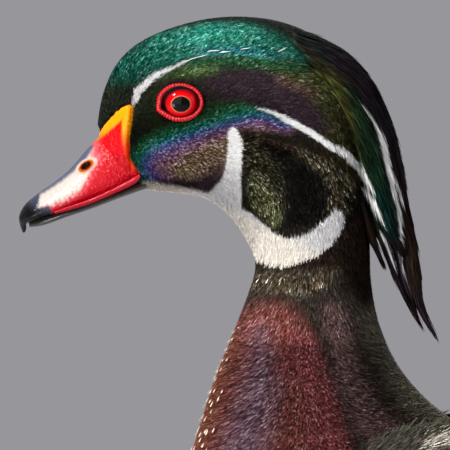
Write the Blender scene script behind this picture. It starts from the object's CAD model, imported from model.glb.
"""Looks of a drake wood duck, life size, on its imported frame.

Lengths are millimetres from the middle of the eyes: +x is the bird's left, +y its tail, +z is up.
"""
import math

import bpy
import numpy as np
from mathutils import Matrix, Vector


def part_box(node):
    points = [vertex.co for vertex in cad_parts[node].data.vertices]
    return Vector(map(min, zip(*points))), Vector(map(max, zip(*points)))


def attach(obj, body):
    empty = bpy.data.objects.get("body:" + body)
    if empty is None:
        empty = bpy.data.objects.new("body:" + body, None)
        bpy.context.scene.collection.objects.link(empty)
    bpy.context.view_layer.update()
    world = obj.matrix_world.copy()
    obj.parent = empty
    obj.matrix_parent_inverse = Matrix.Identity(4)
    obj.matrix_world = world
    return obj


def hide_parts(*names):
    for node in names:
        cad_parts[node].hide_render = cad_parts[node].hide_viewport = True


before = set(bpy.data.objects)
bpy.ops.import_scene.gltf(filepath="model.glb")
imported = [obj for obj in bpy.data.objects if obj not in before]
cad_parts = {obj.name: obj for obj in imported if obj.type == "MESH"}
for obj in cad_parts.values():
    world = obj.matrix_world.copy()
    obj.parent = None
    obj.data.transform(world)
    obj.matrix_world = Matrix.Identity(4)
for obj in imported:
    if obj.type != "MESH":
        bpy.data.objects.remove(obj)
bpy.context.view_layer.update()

MM = 0.001
DEG = math.pi / 180
TURN = 2 * math.pi
SIDES = (-math.pi, math.pi)  # once round a form, its right side first
eye_box = [np.array(corner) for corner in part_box("eye_left")]
EYE_OUT = float((eye_box[0][0] + eye_box[1][0]) / 2) / MM
EYE_RADIUS = float(eye_box[1][2] - eye_box[0][2]) / 2 / MM
ORIGIN = np.array([0, eye_box[0][1] + eye_box[1][1], eye_box[0][2] + eye_box[1][2]]) / 2

# The body's outline as stations from the bill's base to the tail: a point of the upper and one of the lower
# outline (y, z), the half width, and how far the widest place is moved towards the back (+) or belly (-)
STATIONS = np.array([
    [-26.5, -9.1, -12.9, -27.1, 9.3, -0.1],
    [-24.4, 2.6, -7.2, -27.9, 12.8, -0.18],
    [-19.8, 12.4, -2.0, -28.4, 15.8, -0.22],
    [-11.8, 19.4, 3.0, -29.0, 17.8, -0.24],
    [1.5, 24.6, 8.0, -30.3, 19.0, -0.24],
    [16.5, 26.8, 12.5, -33.2, 20.0, -0.2],
    [32.0, 25.0, 16.5, -37.0, 20.4, -0.12],
    [45.0, 18.6, 19.5, -41.5, 20.0, -0.06],
    [53.6, 7.5, 21.6, -45.0, 19.2, 0],
    [57.8, -8.0, 23.0, -47.8, 18.2, 0],
    [59.2, -26.0, 23.7, -50.3, 17.4, 0],
    [59.3, -44.0, 23.4, -54.0, 17.0, 0],
    [60.0, -59.0, 21.2, -61.0, 17.8, 0],
    [63.6, -73.5, 16.3, -73.5, 22.0, 0],
    [72.0, -88.0, 10.5, -88.0, 30.0, 0],
    [87.0, -101.0, 4.0, -109.0, 40.0, 0],
    [108.0, -108.5, -2.5, -134.0, 48.0, 0],
    [131.0, -113.0, -1.0, -163.0, 52.5, 0],
    [152.0, -118.0, 12.0, -190.0, 54.5, 0.04],
    [170.0, -123.5, 38.0, -211.0, 54.5, 0.06],
    [186.0, -129.5, 75.0, -223.0, 52.0, 0.08],
    [200.0, -135.5, 115.0, -224.0, 46.5, 0.08],
    [212.0, -141.0, 152.0, -212.0, 38.0, 0.06],
    [224.0, -146.0, 187.0, -193.0, 28.5, 0.04],
    [236.0, -150.0, 214.0, -175.0, 20.0, 0],
    [250.0, -153.5, 238.0, -166.0, 14.5, 0],
    [268.0, -156.5, 262.0, -161.5, 11.0, 0],
])
LAST = len(STATIONS) - 1


def unit(vectors):
    return vectors / np.maximum(np.linalg.norm(vectors, axis=-1, keepdims=True), 1e-9)


def lerp(a, b, share):
    return a + (b - a) * share


def cover(tint, other, share):
    """A tint covered by another one, by a share for each place."""
    return lerp(tint, other, np.asarray(share)[..., None])


def smooth(low, high, value):
    """From 0 at low to 1 at high, with soft ends."""
    share = np.clip((np.asarray(value, float) - low) / (high - low), 0, 1)
    return share * share * (3 - 2 * share)


def spline(points):
    """A uniform Catmull-Rom curve through points, for places from 0 to 1, going straight on past its ends."""
    knots = np.asarray(points, float)
    rows = np.vstack([2 * knots[0] - knots[1], knots, 2 * knots[-1] - knots[-2]])
    last = len(knots) - 1

    def at(place):
        whole = np.asarray(place, float) * last
        inside = np.clip(whole, 0, last)
        i = np.minimum(inside.astype(int), last - 1)
        f = (inside - i)[..., None]
        a, b, c, d = (rows[i + k] for k in range(4))
        slope = (c - a) + 2 * (2 * a - 5 * b + 4 * c - d) * f + 3 * (3 * b - a - 3 * c + d) * f**2
        value = 2 * b + (c - a) * f + (2 * a - 5 * b + 4 * c - d) * f**2 + (3 * b - a - 3 * c + d) * f**3
        return 0.5 * (value + slope * (whole - inside)[..., None])

    return at


class Surface:
    """A smooth surface at(u, w); outward is 1 or -1, whichever turns its normals out."""

    def __init__(self, at, outward=1, step=0.01):
        self.at = at
        self.outward = outward
        self.step = step

    def slopes(self, u, w):
        ahead = self.at(u + self.step, w) - self.at(u - self.step, w)
        across = self.at(u, w + self.step) - self.at(u, w - self.step)
        return ahead / (2 * self.step), across / (2 * self.step)

    def normal(self, u, w):
        return unit(np.cross(*self.slopes(u, w))) * self.outward

    def raised(self, u, w, height):
        return self.at(u, w) + self.normal(u, w) * np.asarray(height, float)[..., None]


def grid(first, second, closed=True):
    """Places of a sheet from two spans (from, to, count); a closed one leaves out its last column."""
    return np.meshgrid(np.linspace(*first), np.linspace(*second, endpoint=not closed), indexing="ij")


def profile_surface(stations, widest=None):
    """A form across the middle plane; each station has an upper point (y, z), a lower point, a half width and
    the shift of the widest place, which widest replaces."""
    table = np.asarray(stations, float)
    shifts = table[:, 5] if widest is None else np.full(len(table), widest)
    upper, lower = spline(table[:, :2]), spline(table[:, 2:4])
    girth = spline(np.stack([table[:, 4], shifts], 1))

    def at(v, angle):
        width, shift = np.moveaxis(girth(v), -1, 0)
        share = (1 - np.cos(angle) - shift * np.sin(angle) ** 2) / 2
        line = lerp(upper(v), lower(v), share[..., None])
        return np.concatenate([(width * np.sin(angle))[..., None], line], -1)

    return at


body_place = profile_surface(STATIONS)
body = Surface(lambda t, a: body_place(t / LAST, a), outward=-1)
SEARCH_STEPS = 26


def outlines(t):
    """Points (y, z) of the upper and the lower outline at stations t."""
    return [body_place(t / LAST, np.full_like(t, angle))[..., 1:] for angle in (0, math.pi)]


def places_on_side(y, z, first, last):
    """The station and angle of the bird's left side at places of the side view."""
    place = np.stack([y, z], -1)
    low, high = np.full(np.shape(y), float(first)), np.full(np.shape(y), float(last))
    for _ in range(SEARCH_STEPS):
        middle = (low + high) / 2
        top, bottom = outlines(middle)
        line, away = bottom - top, place - top
        ahead = line[..., 1] * away[..., 0] - line[..., 0] * away[..., 1]
        low, high = np.where(ahead < 0, middle, low), np.where(ahead < 0, high, middle)
    top, bottom = outlines(low)
    along = ((place - top) * (bottom - top)).sum(-1) / ((bottom - top) ** 2).sum(-1)
    level = 1 - 2 * np.clip(along, 0, 1)
    shift = spline(STATIONS[:, [5]])(low / LAST)[..., 0]
    straight = np.abs(shift) < 1e-3
    safe = np.where(straight, 1, shift)
    cosine = np.where(straight, level, (1 - np.sqrt(1 - 4 * safe * (level - safe))) / (2 * safe))
    return low, np.arccos(np.clip(cosine, -1, 1))


def on_side(y, z, height, first=0, last=9):
    places = places_on_side(np.asarray(y, float), np.asarray(z, float), first, last)
    return body.raised(*places, height)


# Meshes

class Mesh:
    """Points in millimetres from the eyes, triangles, and a value of colour and shine for each point.

    Patch holds each point's place on the bake map, and barb its place in millimetres along a feather.
    """

    def __init__(self, points, faces, tint, patch=None, barb=None):
        self.points = np.asarray(points, float).reshape(-1, 3)
        self.faces = np.asarray(faces, int).reshape(-1, 3)
        self.tint = np.broadcast_to(np.asarray(tint, float), (len(self.points), 4)).copy()
        self.patch = patch
        self.barb = barb

    def mirrored(self):
        return Mesh(self.points * [-1, 1, 1], self.faces[:, ::-1], self.tint, self.patch, self.barb)


def joined(parts):
    """Several meshes as one, with a map only where every part has it."""
    starts = np.cumsum([0] + [len(part.points) for part in parts[:-1]])

    def maps(name):
        values = [getattr(part, name) for part in parts]
        if any(value is None for value in values):
            return None
        return np.concatenate([value.reshape(-1, 2) for value in values])

    return Mesh(
        np.concatenate([part.points for part in parts]),
        np.concatenate([part.faces + start for part, start in zip(parts, starts)]),
        np.concatenate([part.tint for part in parts]),
        maps("patch"),
        maps("barb"),
    )


def sheet_faces(rows, columns, closed=False):
    """Triangles of a sheet of rows by columns points; closed joins the last column to the first."""
    wide = columns if closed else columns - 1
    i, j = (index.ravel() for index in np.meshgrid(np.arange(rows - 1), np.arange(wide), indexing="ij"))
    a, b = i * columns + j, i * columns + (j + 1) % columns
    c, d = b + columns, a + columns
    return np.concatenate([np.stack([a, b, c], 1), np.stack([a, c, d], 1)])


def ring_faces(rows, columns):
    """Triangles of a sheet that is closed both ways."""
    return sheet_faces(rows + 1, columns, closed=True) % (rows * columns)


def fan_faces(count, flip):
    """Triangles from a ring of points to its middle, which comes after them."""
    ring = np.arange(count)
    faces = np.stack([ring, (ring + 1) % count, np.full(count, count)], 1)
    return faces[:, ::-1] if flip else faces


NO_TINT = np.zeros(4)


def capped(points, tint=NO_TINT, turned=False):
    """A closed form of rows of points with a fan over each end; turned if its rows run the other way."""
    rows, around = points.shape[:2]
    tint = np.broadcast_to(tint, (rows, around, 4))
    wall = sheet_faces(rows, around, closed=True)
    parts = [Mesh(points, wall[:, ::-1] if turned else wall, tint.reshape(-1, 4))]
    for row, flip in ((0, not turned), (-1, turned)):
        ring = np.append(points[row], points[row].mean(0)[None], 0)
        parts.append(Mesh(ring, fan_faces(around, flip), tint[row, 0]))
    return joined(parts)


def piece(name, mesh, material, replaces=()):
    """A visible piece that rides on the root body, in a slot of the record and in the place of some nodes."""
    data = bpy.data.meshes.new(name)
    count = len(mesh.faces)
    data.vertices.add(len(mesh.points))
    data.vertices.foreach_set("co", (mesh.points * MM + ORIGIN).ravel())
    data.loops.add(3 * count)
    data.loops.foreach_set("vertex_index", mesh.faces.ravel())
    data.polygons.add(count)
    data.polygons.foreach_set("loop_start", np.arange(0, 3 * count, 3))
    data.polygons.foreach_set("use_smooth", np.ones(count, bool))
    tints = data.color_attributes.new("Tint", "FLOAT_COLOR", "POINT")
    tints.data.foreach_set("color", mesh.tint.ravel())
    for layer, values in (("OFBake", mesh.patch), ("Barbs", mesh.barb)):
        if values is not None:
            corners = values.reshape(-1, 2)[mesh.faces.ravel()]
            data.uv_layers.new(name=layer).data.foreach_set("uv", corners.ravel())
    data.update()
    data.validate()
    data.materials.append(material)
    made = bpy.data.objects.new(name, data)
    bpy.context.collection.objects.link(made)
    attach(made, "root")
    if replaces:
        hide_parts(*replaces)
    return made


def srgb(red, green, blue, shine=0.0):
    """A linear colour from screen values up to 255, with its shine."""
    screen = np.array([red, green, blue]) / 255
    linear = np.where(screen <= 0.04045, screen / 12.92, ((screen + 0.055) / 1.055) ** 2.4)
    return np.append(linear, shine)


# Feathers and tufts

CELLS = (160, 120)
EVEN_STEPS = (0.7548776662, 0.5698402910)  # multiples of these fill a square evenly


def spread(count, surface, u_span, w_span, density=None):
    """Evenly scattered places on a surface, denser where density(u, w) is higher."""
    u_edges, w_edges = (np.linspace(*span, cells + 1) for span, cells in zip((u_span, w_span), CELLS))
    u, w = np.meshgrid((u_edges[1:] + u_edges[:-1]) / 2, (w_edges[1:] + w_edges[:-1]) / 2, indexing="ij")
    weight = np.linalg.norm(np.cross(*surface.slopes(u, w)), axis=-1)
    if density is not None:
        weight = weight * density(u, w)
    rows = weight.sum(1)
    p, q = ((0.5 + np.arange(count) * step) % 1 for step in EVEN_STEPS)
    places = np.interp(p, np.append(0, np.cumsum(rows)) / rows.sum(), np.arange(CELLS[0] + 1))
    row = np.minimum(places.astype(int), CELLS[0] - 1)
    share = np.cumsum(weight / rows[:, None], 1)
    flat = (share + np.arange(CELLS[0])[:, None]).ravel()
    column = np.minimum(np.searchsorted(flat, row + q) - row * CELLS[1], CELLS[1] - 1)
    before = np.where(column > 0, share[row, np.maximum(column - 1, 0)], 0)
    inside = (q - before) / np.maximum(share[row, column] - before, 1e-9)
    return (
        np.interp(places, np.arange(CELLS[0] + 1), u_edges),
        w_edges[column] + np.clip(inside, 0, 1) * (w_edges[1] - w_edges[0]),
    )


# The width of feathers along their length, as a share of the widest place
SLIVER = ([0, 1], [1, 0.25])
TUFT = ([0, 0.45, 1], [0.55, 1, 0.08])
SPOT = ([0, 0.75, 1], [0.15, 1, 0.5])
LOCK = ([0, 0.2, 0.6, 1], [0.5, 1, 0.8, 0.06])
VANE = ([0, 0.15, 0.5, 0.85, 0.95, 1], [0.35, 0.75, 1, 0.97, 0.75, 0.3])
ROUND = ([0, 0.3, 0.65, 0.85, 0.95, 1], [0.35, 0.8, 1, 0.86, 0.55, 0.12])


def blades(surface, roots, tips, width, rise, rows, across, shape, camber, tilt, ridge=0.0):
    """Blades laid on a surface from roots to tips: points (blade, row, column, 3) and the (v, u) of each."""
    each = lambda value: np.broadcast_to(value, len(roots))[:, None]
    v, u = np.linspace(0, 1, rows), np.asarray(across, float)
    path = roots[:, None] + (tips - roots)[:, None] * v[None, :, None]
    centre = surface.at(path[..., 0], path[..., 1])
    up = surface.normal(path[..., 0], path[..., 1])
    side = unit(np.cross(unit(np.gradient(centre, axis=1)), up))
    narrowing = np.interp(v, *shape)
    aside = (0.5 * each(width) * narrowing)[..., None] * u
    low, high = (each(value) for value in rise)
    bend = each(tilt)[..., None] * u - each(camber)[..., None] * u**2
    height = lerp(low, high, v)[..., None] + bend * narrowing[:, None] + ridge * (np.abs(u) < 0.15)
    points = centre[:, :, None] + side[:, :, None] * aside[..., None] + up[:, :, None] * height[..., None]
    return points, np.stack(np.broadcast_arrays(v[None, :, None], u[None, None, :]), -1)


def many_faces(count, rows, columns):
    """Triangles of many sheets of the same size, one after the other."""
    faces = sheet_faces(rows, columns)
    return (faces[None] + (np.arange(count) * rows * columns)[:, None, None]).reshape(-1, 3)


PATCH, PATCH_MARGIN = 0.003, 0.01  # size of a tuft on the bake map, and the map's margin
SQUARE_MARGIN = 0.06


def tufts(surface, roots, tips, width, rise, tint, spans, rows=2, shape=SLIVER, fade=0.35, tilt=0.0):
    """Plain tufts, darker at the root; tint is one for each tuft, or one for each of its rows."""
    points, place = blades(surface, roots, tips, width, rise, rows, (-1, 1), shape, 0.0, tilt)
    rows_tint = tint[:, None, None] if tint.ndim == 2 else tint[:, :, None]
    colours = np.broadcast_to(rows_tint, (*points.shape[:3], 4)).copy()
    colours[..., :3] *= lerp(1 - fade, 1.0, place[..., 0])[..., None]
    (u0, u1), (w0, w1) = spans
    root = np.stack([(roots[:, 1] - w0) / (w1 - w0), (roots[:, 0] - u0) / (u1 - u0)], -1)
    root = PATCH_MARGIN + (1 - 2 * PATCH_MARGIN) * root
    patch = root[:, None, None] + PATCH * np.stack([place[..., 1] / 2, place[..., 0] - 0.5], -1)
    return Mesh(points, many_faces(len(roots), rows, 2), colours.reshape(-1, 4), patch.reshape(-1, 2))


VANE_COLUMNS = [-1, -0.7, -0.35, -0.06, 0.06, 0.35, 0.7, 1]  # the middle pair is the shaft
SHAFT_RISE = 0.18
BARB_SHIFT = 7.3  # sets neighbours apart on the map of barbs


def vanes(surface, roots, tips, width, rise, colour, rows, shape, camber, tilt):
    """Broad feathers with a shaft; colour(i, v, u) gives the tint, i being the feather's number."""
    roots, tips = np.asarray(roots, float), np.asarray(tips, float)
    points, place = blades(
        surface, roots, tips, width, rise, rows, VANE_COLUMNS, shape, camber, tilt, SHAFT_RISE)
    count, columns = len(roots), len(VANE_COLUMNS)
    number = np.broadcast_to(np.arange(count)[:, None, None], points.shape[:3])
    v, u = (np.broadcast_to(place[..., k], points.shape[:3]) for k in (0, 1))
    tint = colour(number, v, u)
    steps = np.diff(points[:, :, 3], axis=1, prepend=points[:, :1, 3])
    along = np.cumsum(np.linalg.norm(steps, axis=-1), 1)
    wide = np.broadcast_to(width, count)[:, None, None] / 2
    barb = np.stack([u * wide, np.broadcast_to(along[..., None], u.shape) + BARB_SHIFT * number], -1)
    faces = many_faces(count, rows, columns)
    return points, Mesh(points, faces, tint.reshape(-1, 4), np.stack([u, v], -1), barb)


def feathers(parts):
    """Vanes joined into one mesh, each feather with its own square of the bake map."""
    side = math.ceil(math.sqrt(sum(len(points) for points, _ in parts)))
    start = 0
    for points, mesh in parts:
        number = start + np.arange(len(points))
        corner = np.stack([number % side, number // side], -1)[:, None, None] / side
        local = np.stack([(mesh.patch[..., 0] + 1) / 2, mesh.patch[..., 1]], -1)
        mesh.patch = (corner + (SQUARE_MARGIN + (1 - 2 * SQUARE_MARGIN) * local) / side).reshape(-1, 2)
        start += len(points)
    return joined([mesh for _, mesh in parts])


def rows_between(first, last, count, bow=0.0):
    """Places spread from the first to the last, the middle ones moved on by bow along the first number."""
    share = np.linspace(0, 1, count)
    places = lerp(np.asarray(first, float), np.asarray(last, float), share[:, None])
    places[:, 0] += bow * np.sin(math.pi * share)
    return places


# Markings in the side view: strokes of (y, z, half width)

def depth_in(stroke, y, z):
    """How deep a place lies inside a stroke; negative outside it."""
    best = np.full(np.shape(y), -1e9)
    for (ya, za, ha), (yb, zb, hb) in zip(stroke[:-1], stroke[1:]):
        length = (yb - ya) ** 2 + (zb - za) ** 2
        share = np.clip(((y - ya) * (yb - ya) + (z - za) * (zb - za)) / length, 0, 1)
        away = np.hypot(y - lerp(ya, yb, share), z - lerp(za, zb, share))
        best = np.maximum(best, lerp(ha, hb, share) - away)
    return best


def paint(base, y, z, layers):
    """Tints at places: base, covered in turn by layers of (tint, softness, stroke)."""
    tint = np.broadcast_to(base, (*np.shape(y), 5)).copy()
    for colour, softness, stroke in layers:
        tint = cover(tint, colour, smooth(-softness, softness, depth_in(stroke, y, z)))
    return tint


def mark(red, green, blue, shine, sparkle):
    """A tint with its shine and how much single tufts vary."""
    return np.append(srgb(red, green, blue, shine), sparkle)


BROW = [
    (-14.8, 0.1, 0.75), (-13.9, 3.1, 1.15), (-10.9, 6.1, 1.0), (-8.9, 8.1, 0.85), (-6.5, 9.3, 0.62),
    (-4.1, 10.3, 0.42), (-1.6, 11.5, 0.26), (0.8, 12.6, 0.12),
]
REAR_LINE = [
    (23.4, -1.7, 0.15), (28.8, -3.1, 0.6), (34.2, -5.8, 0.95), (41, -9.4, 1.0), (46.4, -12.6, 1.0),
    (52.3, -16.2, 1.15), (55.9, -20.2, 1.0), (58.6, -24.8, 0.7), (60.9, -29.3, 0.2),
]
REAR_LINE_END = [(57, -26.6, 0.2), (60.2, -31.3, 0.7), (62.1, -34.7, 0.6), (64, -38.8, 0.15)]
REAR_LINE_LOCK = [(63.1, -41.5, 0.15), (64.9, -45.1, 0.4), (66.3, -49.2, 0.35), (67.5, -53, 0.1)]
CREST_LINE = [
    (57.7, -1.7, 0.1), (60.4, -5.8, 0.2), (62.4, -9.4, 0.55), (64, -14.4, 0.95), (64.8, -18.9, 0.95),
    (66, -23.4, 0.85), (67.2, -29.3, 0.6), (68.5, -34.7, 0.5), (69.2, -39.2, 0.42), (69.5, -43.8, 0.2),
]
CREST_LINE_END = [(67.2, -24.5, 0.4), (69, -30.2, 0.35), (69.9, -33.4, 0.1)]
CREST_LINE_LOCK = [(68.9, -48.5, 0.15), (70.1, -53, 0.4), (71.8, -58.5, 0.15)]
WHITE_LINES = [BROW, REAR_LINE, REAR_LINE_END, REAR_LINE_LOCK, CREST_LINE, CREST_LINE_END, CREST_LINE_LOCK]
# Outline of the white of chin, cheek finger and collar, from the bill's corner round to the throat
WHITE_COLLAR = [
    (-12.6, -25.4), (-10.5, -24.7), (-7.3, -25.2), (-3.2, -26), (0.8, -26.8), (4.8, -27.5), (8.4, -28.4),
    (10.4, -26.4), (12.4, -24.4), (13.8, -20.8), (14.2, -16.8), (14.6, -12.8), (14.4, -9.6), (15.2, -8.1),
    (16.2, -7.6), (17.4, -8.2), (18.2, -9.6), (19.2, -12.8), (19.1, -16.8), (18.8, -22.8), (18.8, -28.9),
    (18.8, -33.2), (22, -34.7), (25.2, -37.4), (28.8, -40.1), (32.9, -41.9), (37.4, -41.5), (41, -39.7),
    (44.6, -36.5), (47.3, -34.2), (48.6, -32.4), (50.6, -34), (51.4, -36.5), (50, -40.6), (47.8, -43.8),
    (43.3, -47.3), (36.4, -50.1), (31.9, -51.3), (28, -50.8), (23.8, -49.4), (16, -48.6), (-12.6, -48),
]

HEAD_PAINTS = [
    (mark(34, 22, 15, 0.15, 0.6), 5, [(50, -20, 10), (56, -48, 14), (52, -60, 14)]),
    (mark(50, 48, 20, 0.35, 0.9), 4, [(34, 8, 6), (44, 1, 9), (52, -8, 8), (56, -18, 6)]),
    (mark(14, 34, 20, 0.35, 0.7), 3, [(54, 4, 2.5), (58, -6, 3.5), (61, -20, 4.5), (64, -34, 4)]),
    (mark(10, 36, 32, 0.4, 0.6), 3, [(63, -30, 3), (66, -42, 3)]),
    (mark(32, 22, 28, 0.2, 0.5), 3, [(67, -46, 3), (70, -56, 5), (76, -74, 7)]),
    (mark(42, 30, 37, 0.2, 0.5), 2.5, [(8, 6, 1.5), (14, 5, 4), (24, 4, 6.5), (33, 0, 6.5), (41, -6, 4)]),
    (mark(66, 70, 32, 0.4, 1.0), 3, [(28, 11, 1.5), (38, 8, 3), (47, 3, 3)]),
    (mark(80, 56, 46, 0.35, 1.0), 2, [(30, 6.5, 0.8), (40, 3.5, 1.4)]),
    (mark(8, 98, 80, 0.6, 0.95), 3,
     [(-22, 7, 2.5), (-15, 11, 4.5), (-6, 16, 5), (8, 19.5, 5), (20, 20.5, 4.5), (30, 17, 3.5),
      (37, 13.5, 1.0)]),
    (mark(14, 122, 102, 0.65, 0.95), 2.5, [(-19, 11, 1.5), (-8, 18.5, 2.2), (8, 22, 2.2), (22, 22, 1.6)]),
    (mark(10, 98, 102, 0.65, 0.8), 1.6,
     [(5, 15.2, 0.6), (12, 15.4, 1.4), (20, 15.2, 1.6), (29, 13.4, 0.8)]),
    (mark(28, 76, 42, 0.55, 1.1), 2, [(2, 11.4, 0.8), (14, 12.6, 1.6), (28, 11.6, 1.6), (38, 10.5, 1.2)]),
    (mark(60, 86, 40, 0.45, 1.1), 1.8, [(-7, 7.6, 0.5), (-2, 9.2, 1.2), (5, 9.4, 1.6), (10, 9.8, 0.8)]),
    (mark(40, 46, 34, 0.3, 0.5), 3, [(-26, -6, 3), (-22, 1, 4), (-14, -6, 5), (-12, -14, 3)]),
    (mark(34, 40, 26, 0.3, 0.45), 2, [(-16, -8, 2.5), (-12, 1, 3), (-8, 4.5, 2), (-9, -7, 3)]),
    (mark(24, 32, 30, 0.25, 0.5), 1.4,
     [(-24, 12, 0.8), (-16, 20, 1.2), (-4, 25, 1.2), (16, 28, 1.6), (34, 25, 2), (48, 15, 2.6)]),
    (mark(32, 24, 30, 0.2, 0.4), 2, [(48, 15, 2.2), (58, 5, 3), (64, -8, 3), (68, -22, 3), (71, -36, 3)]),
    (mark(36, 25, 18, 0.15, 0.4), 1.5, [(67, -20, 1), (71.5, -38, 1.6), (75, -58, 3)]),
]
# Bands of the cheek: the blue line round its front and top, and the tints by distance inside that line
BLUE_LINE = [
    (-7.5, -27), (-11.6, -22.5), (-11.8, -18.5), (-9.3, -15.2), (-5.3, -13.2), (-1.3, -11.6), (2.8, -10.2),
    (6.8, -8.8), (10.8, -7.6), (15, -6.2), (20, -4.9), (26, -4.2), (33, -7),
]
BAND_STEPS = [-9, -5.5, -3, -1.2, 0, 1, 2.2, 3.8, 6, 10, 14]
BAND_TINTS = np.stack([
    mark(34, 40, 28, 0.3, 0.45), mark(34, 74, 40, 0.5, 0.9), mark(26, 110, 70, 0.55, 0.8),
    mark(26, 122, 122, 0.55, 0.8), mark(62, 104, 154, 0.55, 0.8), mark(104, 90, 152, 0.5, 0.85),
    mark(126, 86, 124, 0.45, 0.85), mark(136, 98, 104, 0.4, 0.95), mark(138, 114, 80, 0.4, 1.0),
    mark(124, 98, 78, 0.35, 1.0), mark(78, 56, 60, 0.3, 0.8),
])
BAND_WIDTHS = ([-12, -2, 10], [2.0, 1.5, 1.0])  # how much wider the bands are, by y
CHEEK = [(-13, -20, 4), (-8, -18, 8), (2, -15, 10), (9, -14, 10), (12, -16, 8)]
CHEEK_REAR = [(8, -1.6, 1.5), (18, -4, 4), (27, -6, 2.5), (34, -8, 1.2)]
CHEEK_LOW = [(-9, -25.4, 0.8), (0, -26, 1.6), (8, -26.4, 2.4)]
DARK_PATCH = [(22.5, -12, 3), (27, -20, 8), (33, -26, 13), (42, -27, 11), (50, -30, 8)]
PATCH_TINTS = [
    (mark(60, 56, 36, 0.3, 1.6), 2.5, [(22, -14, 3), (25, -22, 5.5), (27, -32, 5.5)]),
    (mark(108, 110, 66, 0.4, 1.5), 2, [(23.5, -25, 2.2), (25.5, -31, 3.4), (29, -37, 2.4)]),
    (mark(84, 60, 48, 0.35, 1.2), 1.6, [(22, -8.5, 1), (29, -10.5, 1.6), (36, -13.5, 1)]),
    (mark(72, 65, 42, 0.35, 1.55), 2, [(38, -16, 2), (46, -19, 3.4), (51, -26, 4), (49, -33, 3)]),
    (mark(4, 3, 2, 0.02, 0.4), 2.5,
     [(37, -17, 1), (39, -24, 3.4), (39, -31, 4), (36, -37, 3.5), (31, -40, 1.5)]),
]
HEAD_GROUND, PATCH_GROUND = mark(30, 26, 20, 0.2, 0.4), mark(17, 13, 9, 0.2, 1.3)
CHEEK_LOW_TINT = mark(54, 38, 44, 0.2, 0.5)


def head_marks(y, z, ragged=0.0):
    """Tints (colour, shine, sparkle) of head and crest at places of the side view, and what is white."""
    tint = paint(HEAD_GROUND, y, z, HEAD_PAINTS)
    inside = signed_beside(BLUE_LINE, y, z)
    inside = np.where(inside > 0, inside / np.interp(y, *BAND_WIDTHS), inside)
    bands = np.stack([np.interp(inside, BAND_STEPS, BAND_TINTS[:, k]) for k in range(5)], -1)
    bands[..., :3] *= (1.15 + 1.6 * smooth(4, -8, y) * smooth(-8, -15, z))[..., None]
    region = np.maximum(depth_in(CHEEK, y, z), depth_in(CHEEK_REAR, y, z))
    tint = cover(tint, bands, smooth(-2, 2, region))
    tint = cover(tint, CHEEK_LOW_TINT, smooth(-1.5, 1.5, depth_in(CHEEK_LOW, y, z)))
    dark = paint(PATCH_GROUND, y, z, PATCH_TINTS)
    tint = cover(tint, dark, smooth(-1.2, 1.2, depth_in(DARK_PATCH, y, z)))
    whiteness = np.max([depth_in(stroke, y, z) for stroke in WHITE_LINES], axis=0)
    whiteness = np.maximum(whiteness, outline_depth(WHITE_COLLAR, y, z))
    return tint, smooth(-0.12, 0.12, whiteness + ragged)


def signed_beside(line, y, z):
    """Distance from an open line, positive on its right-hand side."""
    best, side = np.full(np.shape(y), 1e9), np.zeros(np.shape(y))
    for (ya, za), (yb, zb) in zip(line[:-1], line[1:]):
        ahead, up = yb - ya, zb - za
        share = np.clip(((y - ya) * ahead + (z - za) * up) / (ahead**2 + up**2), 0, 1)
        away = np.hypot(y - ya - ahead * share, z - za - up * share)
        side = np.where(away < best, np.sign(up * (y - ya) - ahead * (z - za)), side)
        best = np.minimum(best, away)
    return best * side


def outline_depth(outline, y, z):
    """How far inside a closed outline a place lies; negative outside."""
    ring = [(*point, 0.0) for point in outline] + [(*outline[0], 0.0)]
    edge = -depth_in(ring, y, z)
    inside = np.zeros(np.shape(y), bool)
    for (ya, za, _), (yb, zb, _) in zip(ring[:-1], ring[1:]):
        crosses = (za > z) != (zb > z)
        inside ^= crosses & (y < lerp(ya, yb, (z - za) / np.where(zb == za, 1, zb - za)))
    return np.where(inside, edge, -edge)


BODY_PAINTS = [
    (mark(152, 82, 74, 0.2, 0.65), 5,
     [(28, -75, 12), (24, -100, 22), (18, -135, 26), (18, -165, 24), (26, -190, 20)]),
    (mark(148, 88, 66, 0.15, 0.45), 2.5,
     [(17, -74, 1.5), (11, -88, 2), (5, -108, 3), (-1, -134, 5), (0, -163, 7)]),
    (mark(166, 126, 146, 0.3, 0.85), 6, [(25, -72, 1), (25, -88, 5), (20, -106, 6), (12, -130, 5)]),
    (mark(158, 80, 84, 0.2, 0.65), 4, [(38, -76, 4), (43, -90, 5.5), (46, -110, 7)]),
    (mark(116, 88, 84, 0.12, 0.6), 4, [(48, -66, 3), (52, -84, 4), (58, -98, 5), (74, -108, 5)]),
    (mark(98, 92, 76, 0.05, 0.35), 4,
     [(59, -58, 4), (63, -74, 4.5), (74, -90, 7), (92, -102, 8), (110, -108, 10)]),
    (mark(30, 20, 14, 0.1, 0.5), 3, [(56, -40, 8), (58, -54, 7), (58, -60, 4)]),
    (mark(96, 82, 62, 0.25, 1.25), 2, [(24, -55, 2.4), (32, -56, 3.4), (42, -56, 3.4), (48, -52, 2)]),
    (mark(40, 50, 44, 0.4, 0.4), 6, [(104, -110, 8), (150, -124, 16), (200, -142, 12), (240, -154, 10)]),
    (mark(16, 30, 28, 0.5, 0.4), 5, [(196, -140, 8), (240, -152, 8), (268, -158, 8)]),
    (mark(226, 220, 208, 0, 0.12), 6,
     [(44, -216, 12), (80, -220, 20), (120, -224, 24), (150, -214, 20), (172, -204, 10)]),
    (mark(46, 34, 28, 0.1, 0.3), 5, [(184, -206, 6), (212, -186, 10), (240, -174, 8), (262, -164, 8)]),
    (mark(92, 26, 38, 0.3, 0.4), 3, [(192, -180, 6), (212, -172, 6)]),
]
WHITE_BAR = [(73, -104, 1.6), (63, -112, 2.6), (50, -124, 3), (41, -140, 3.4), (37, -158, 3.2), (38, -174, 2)]
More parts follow.
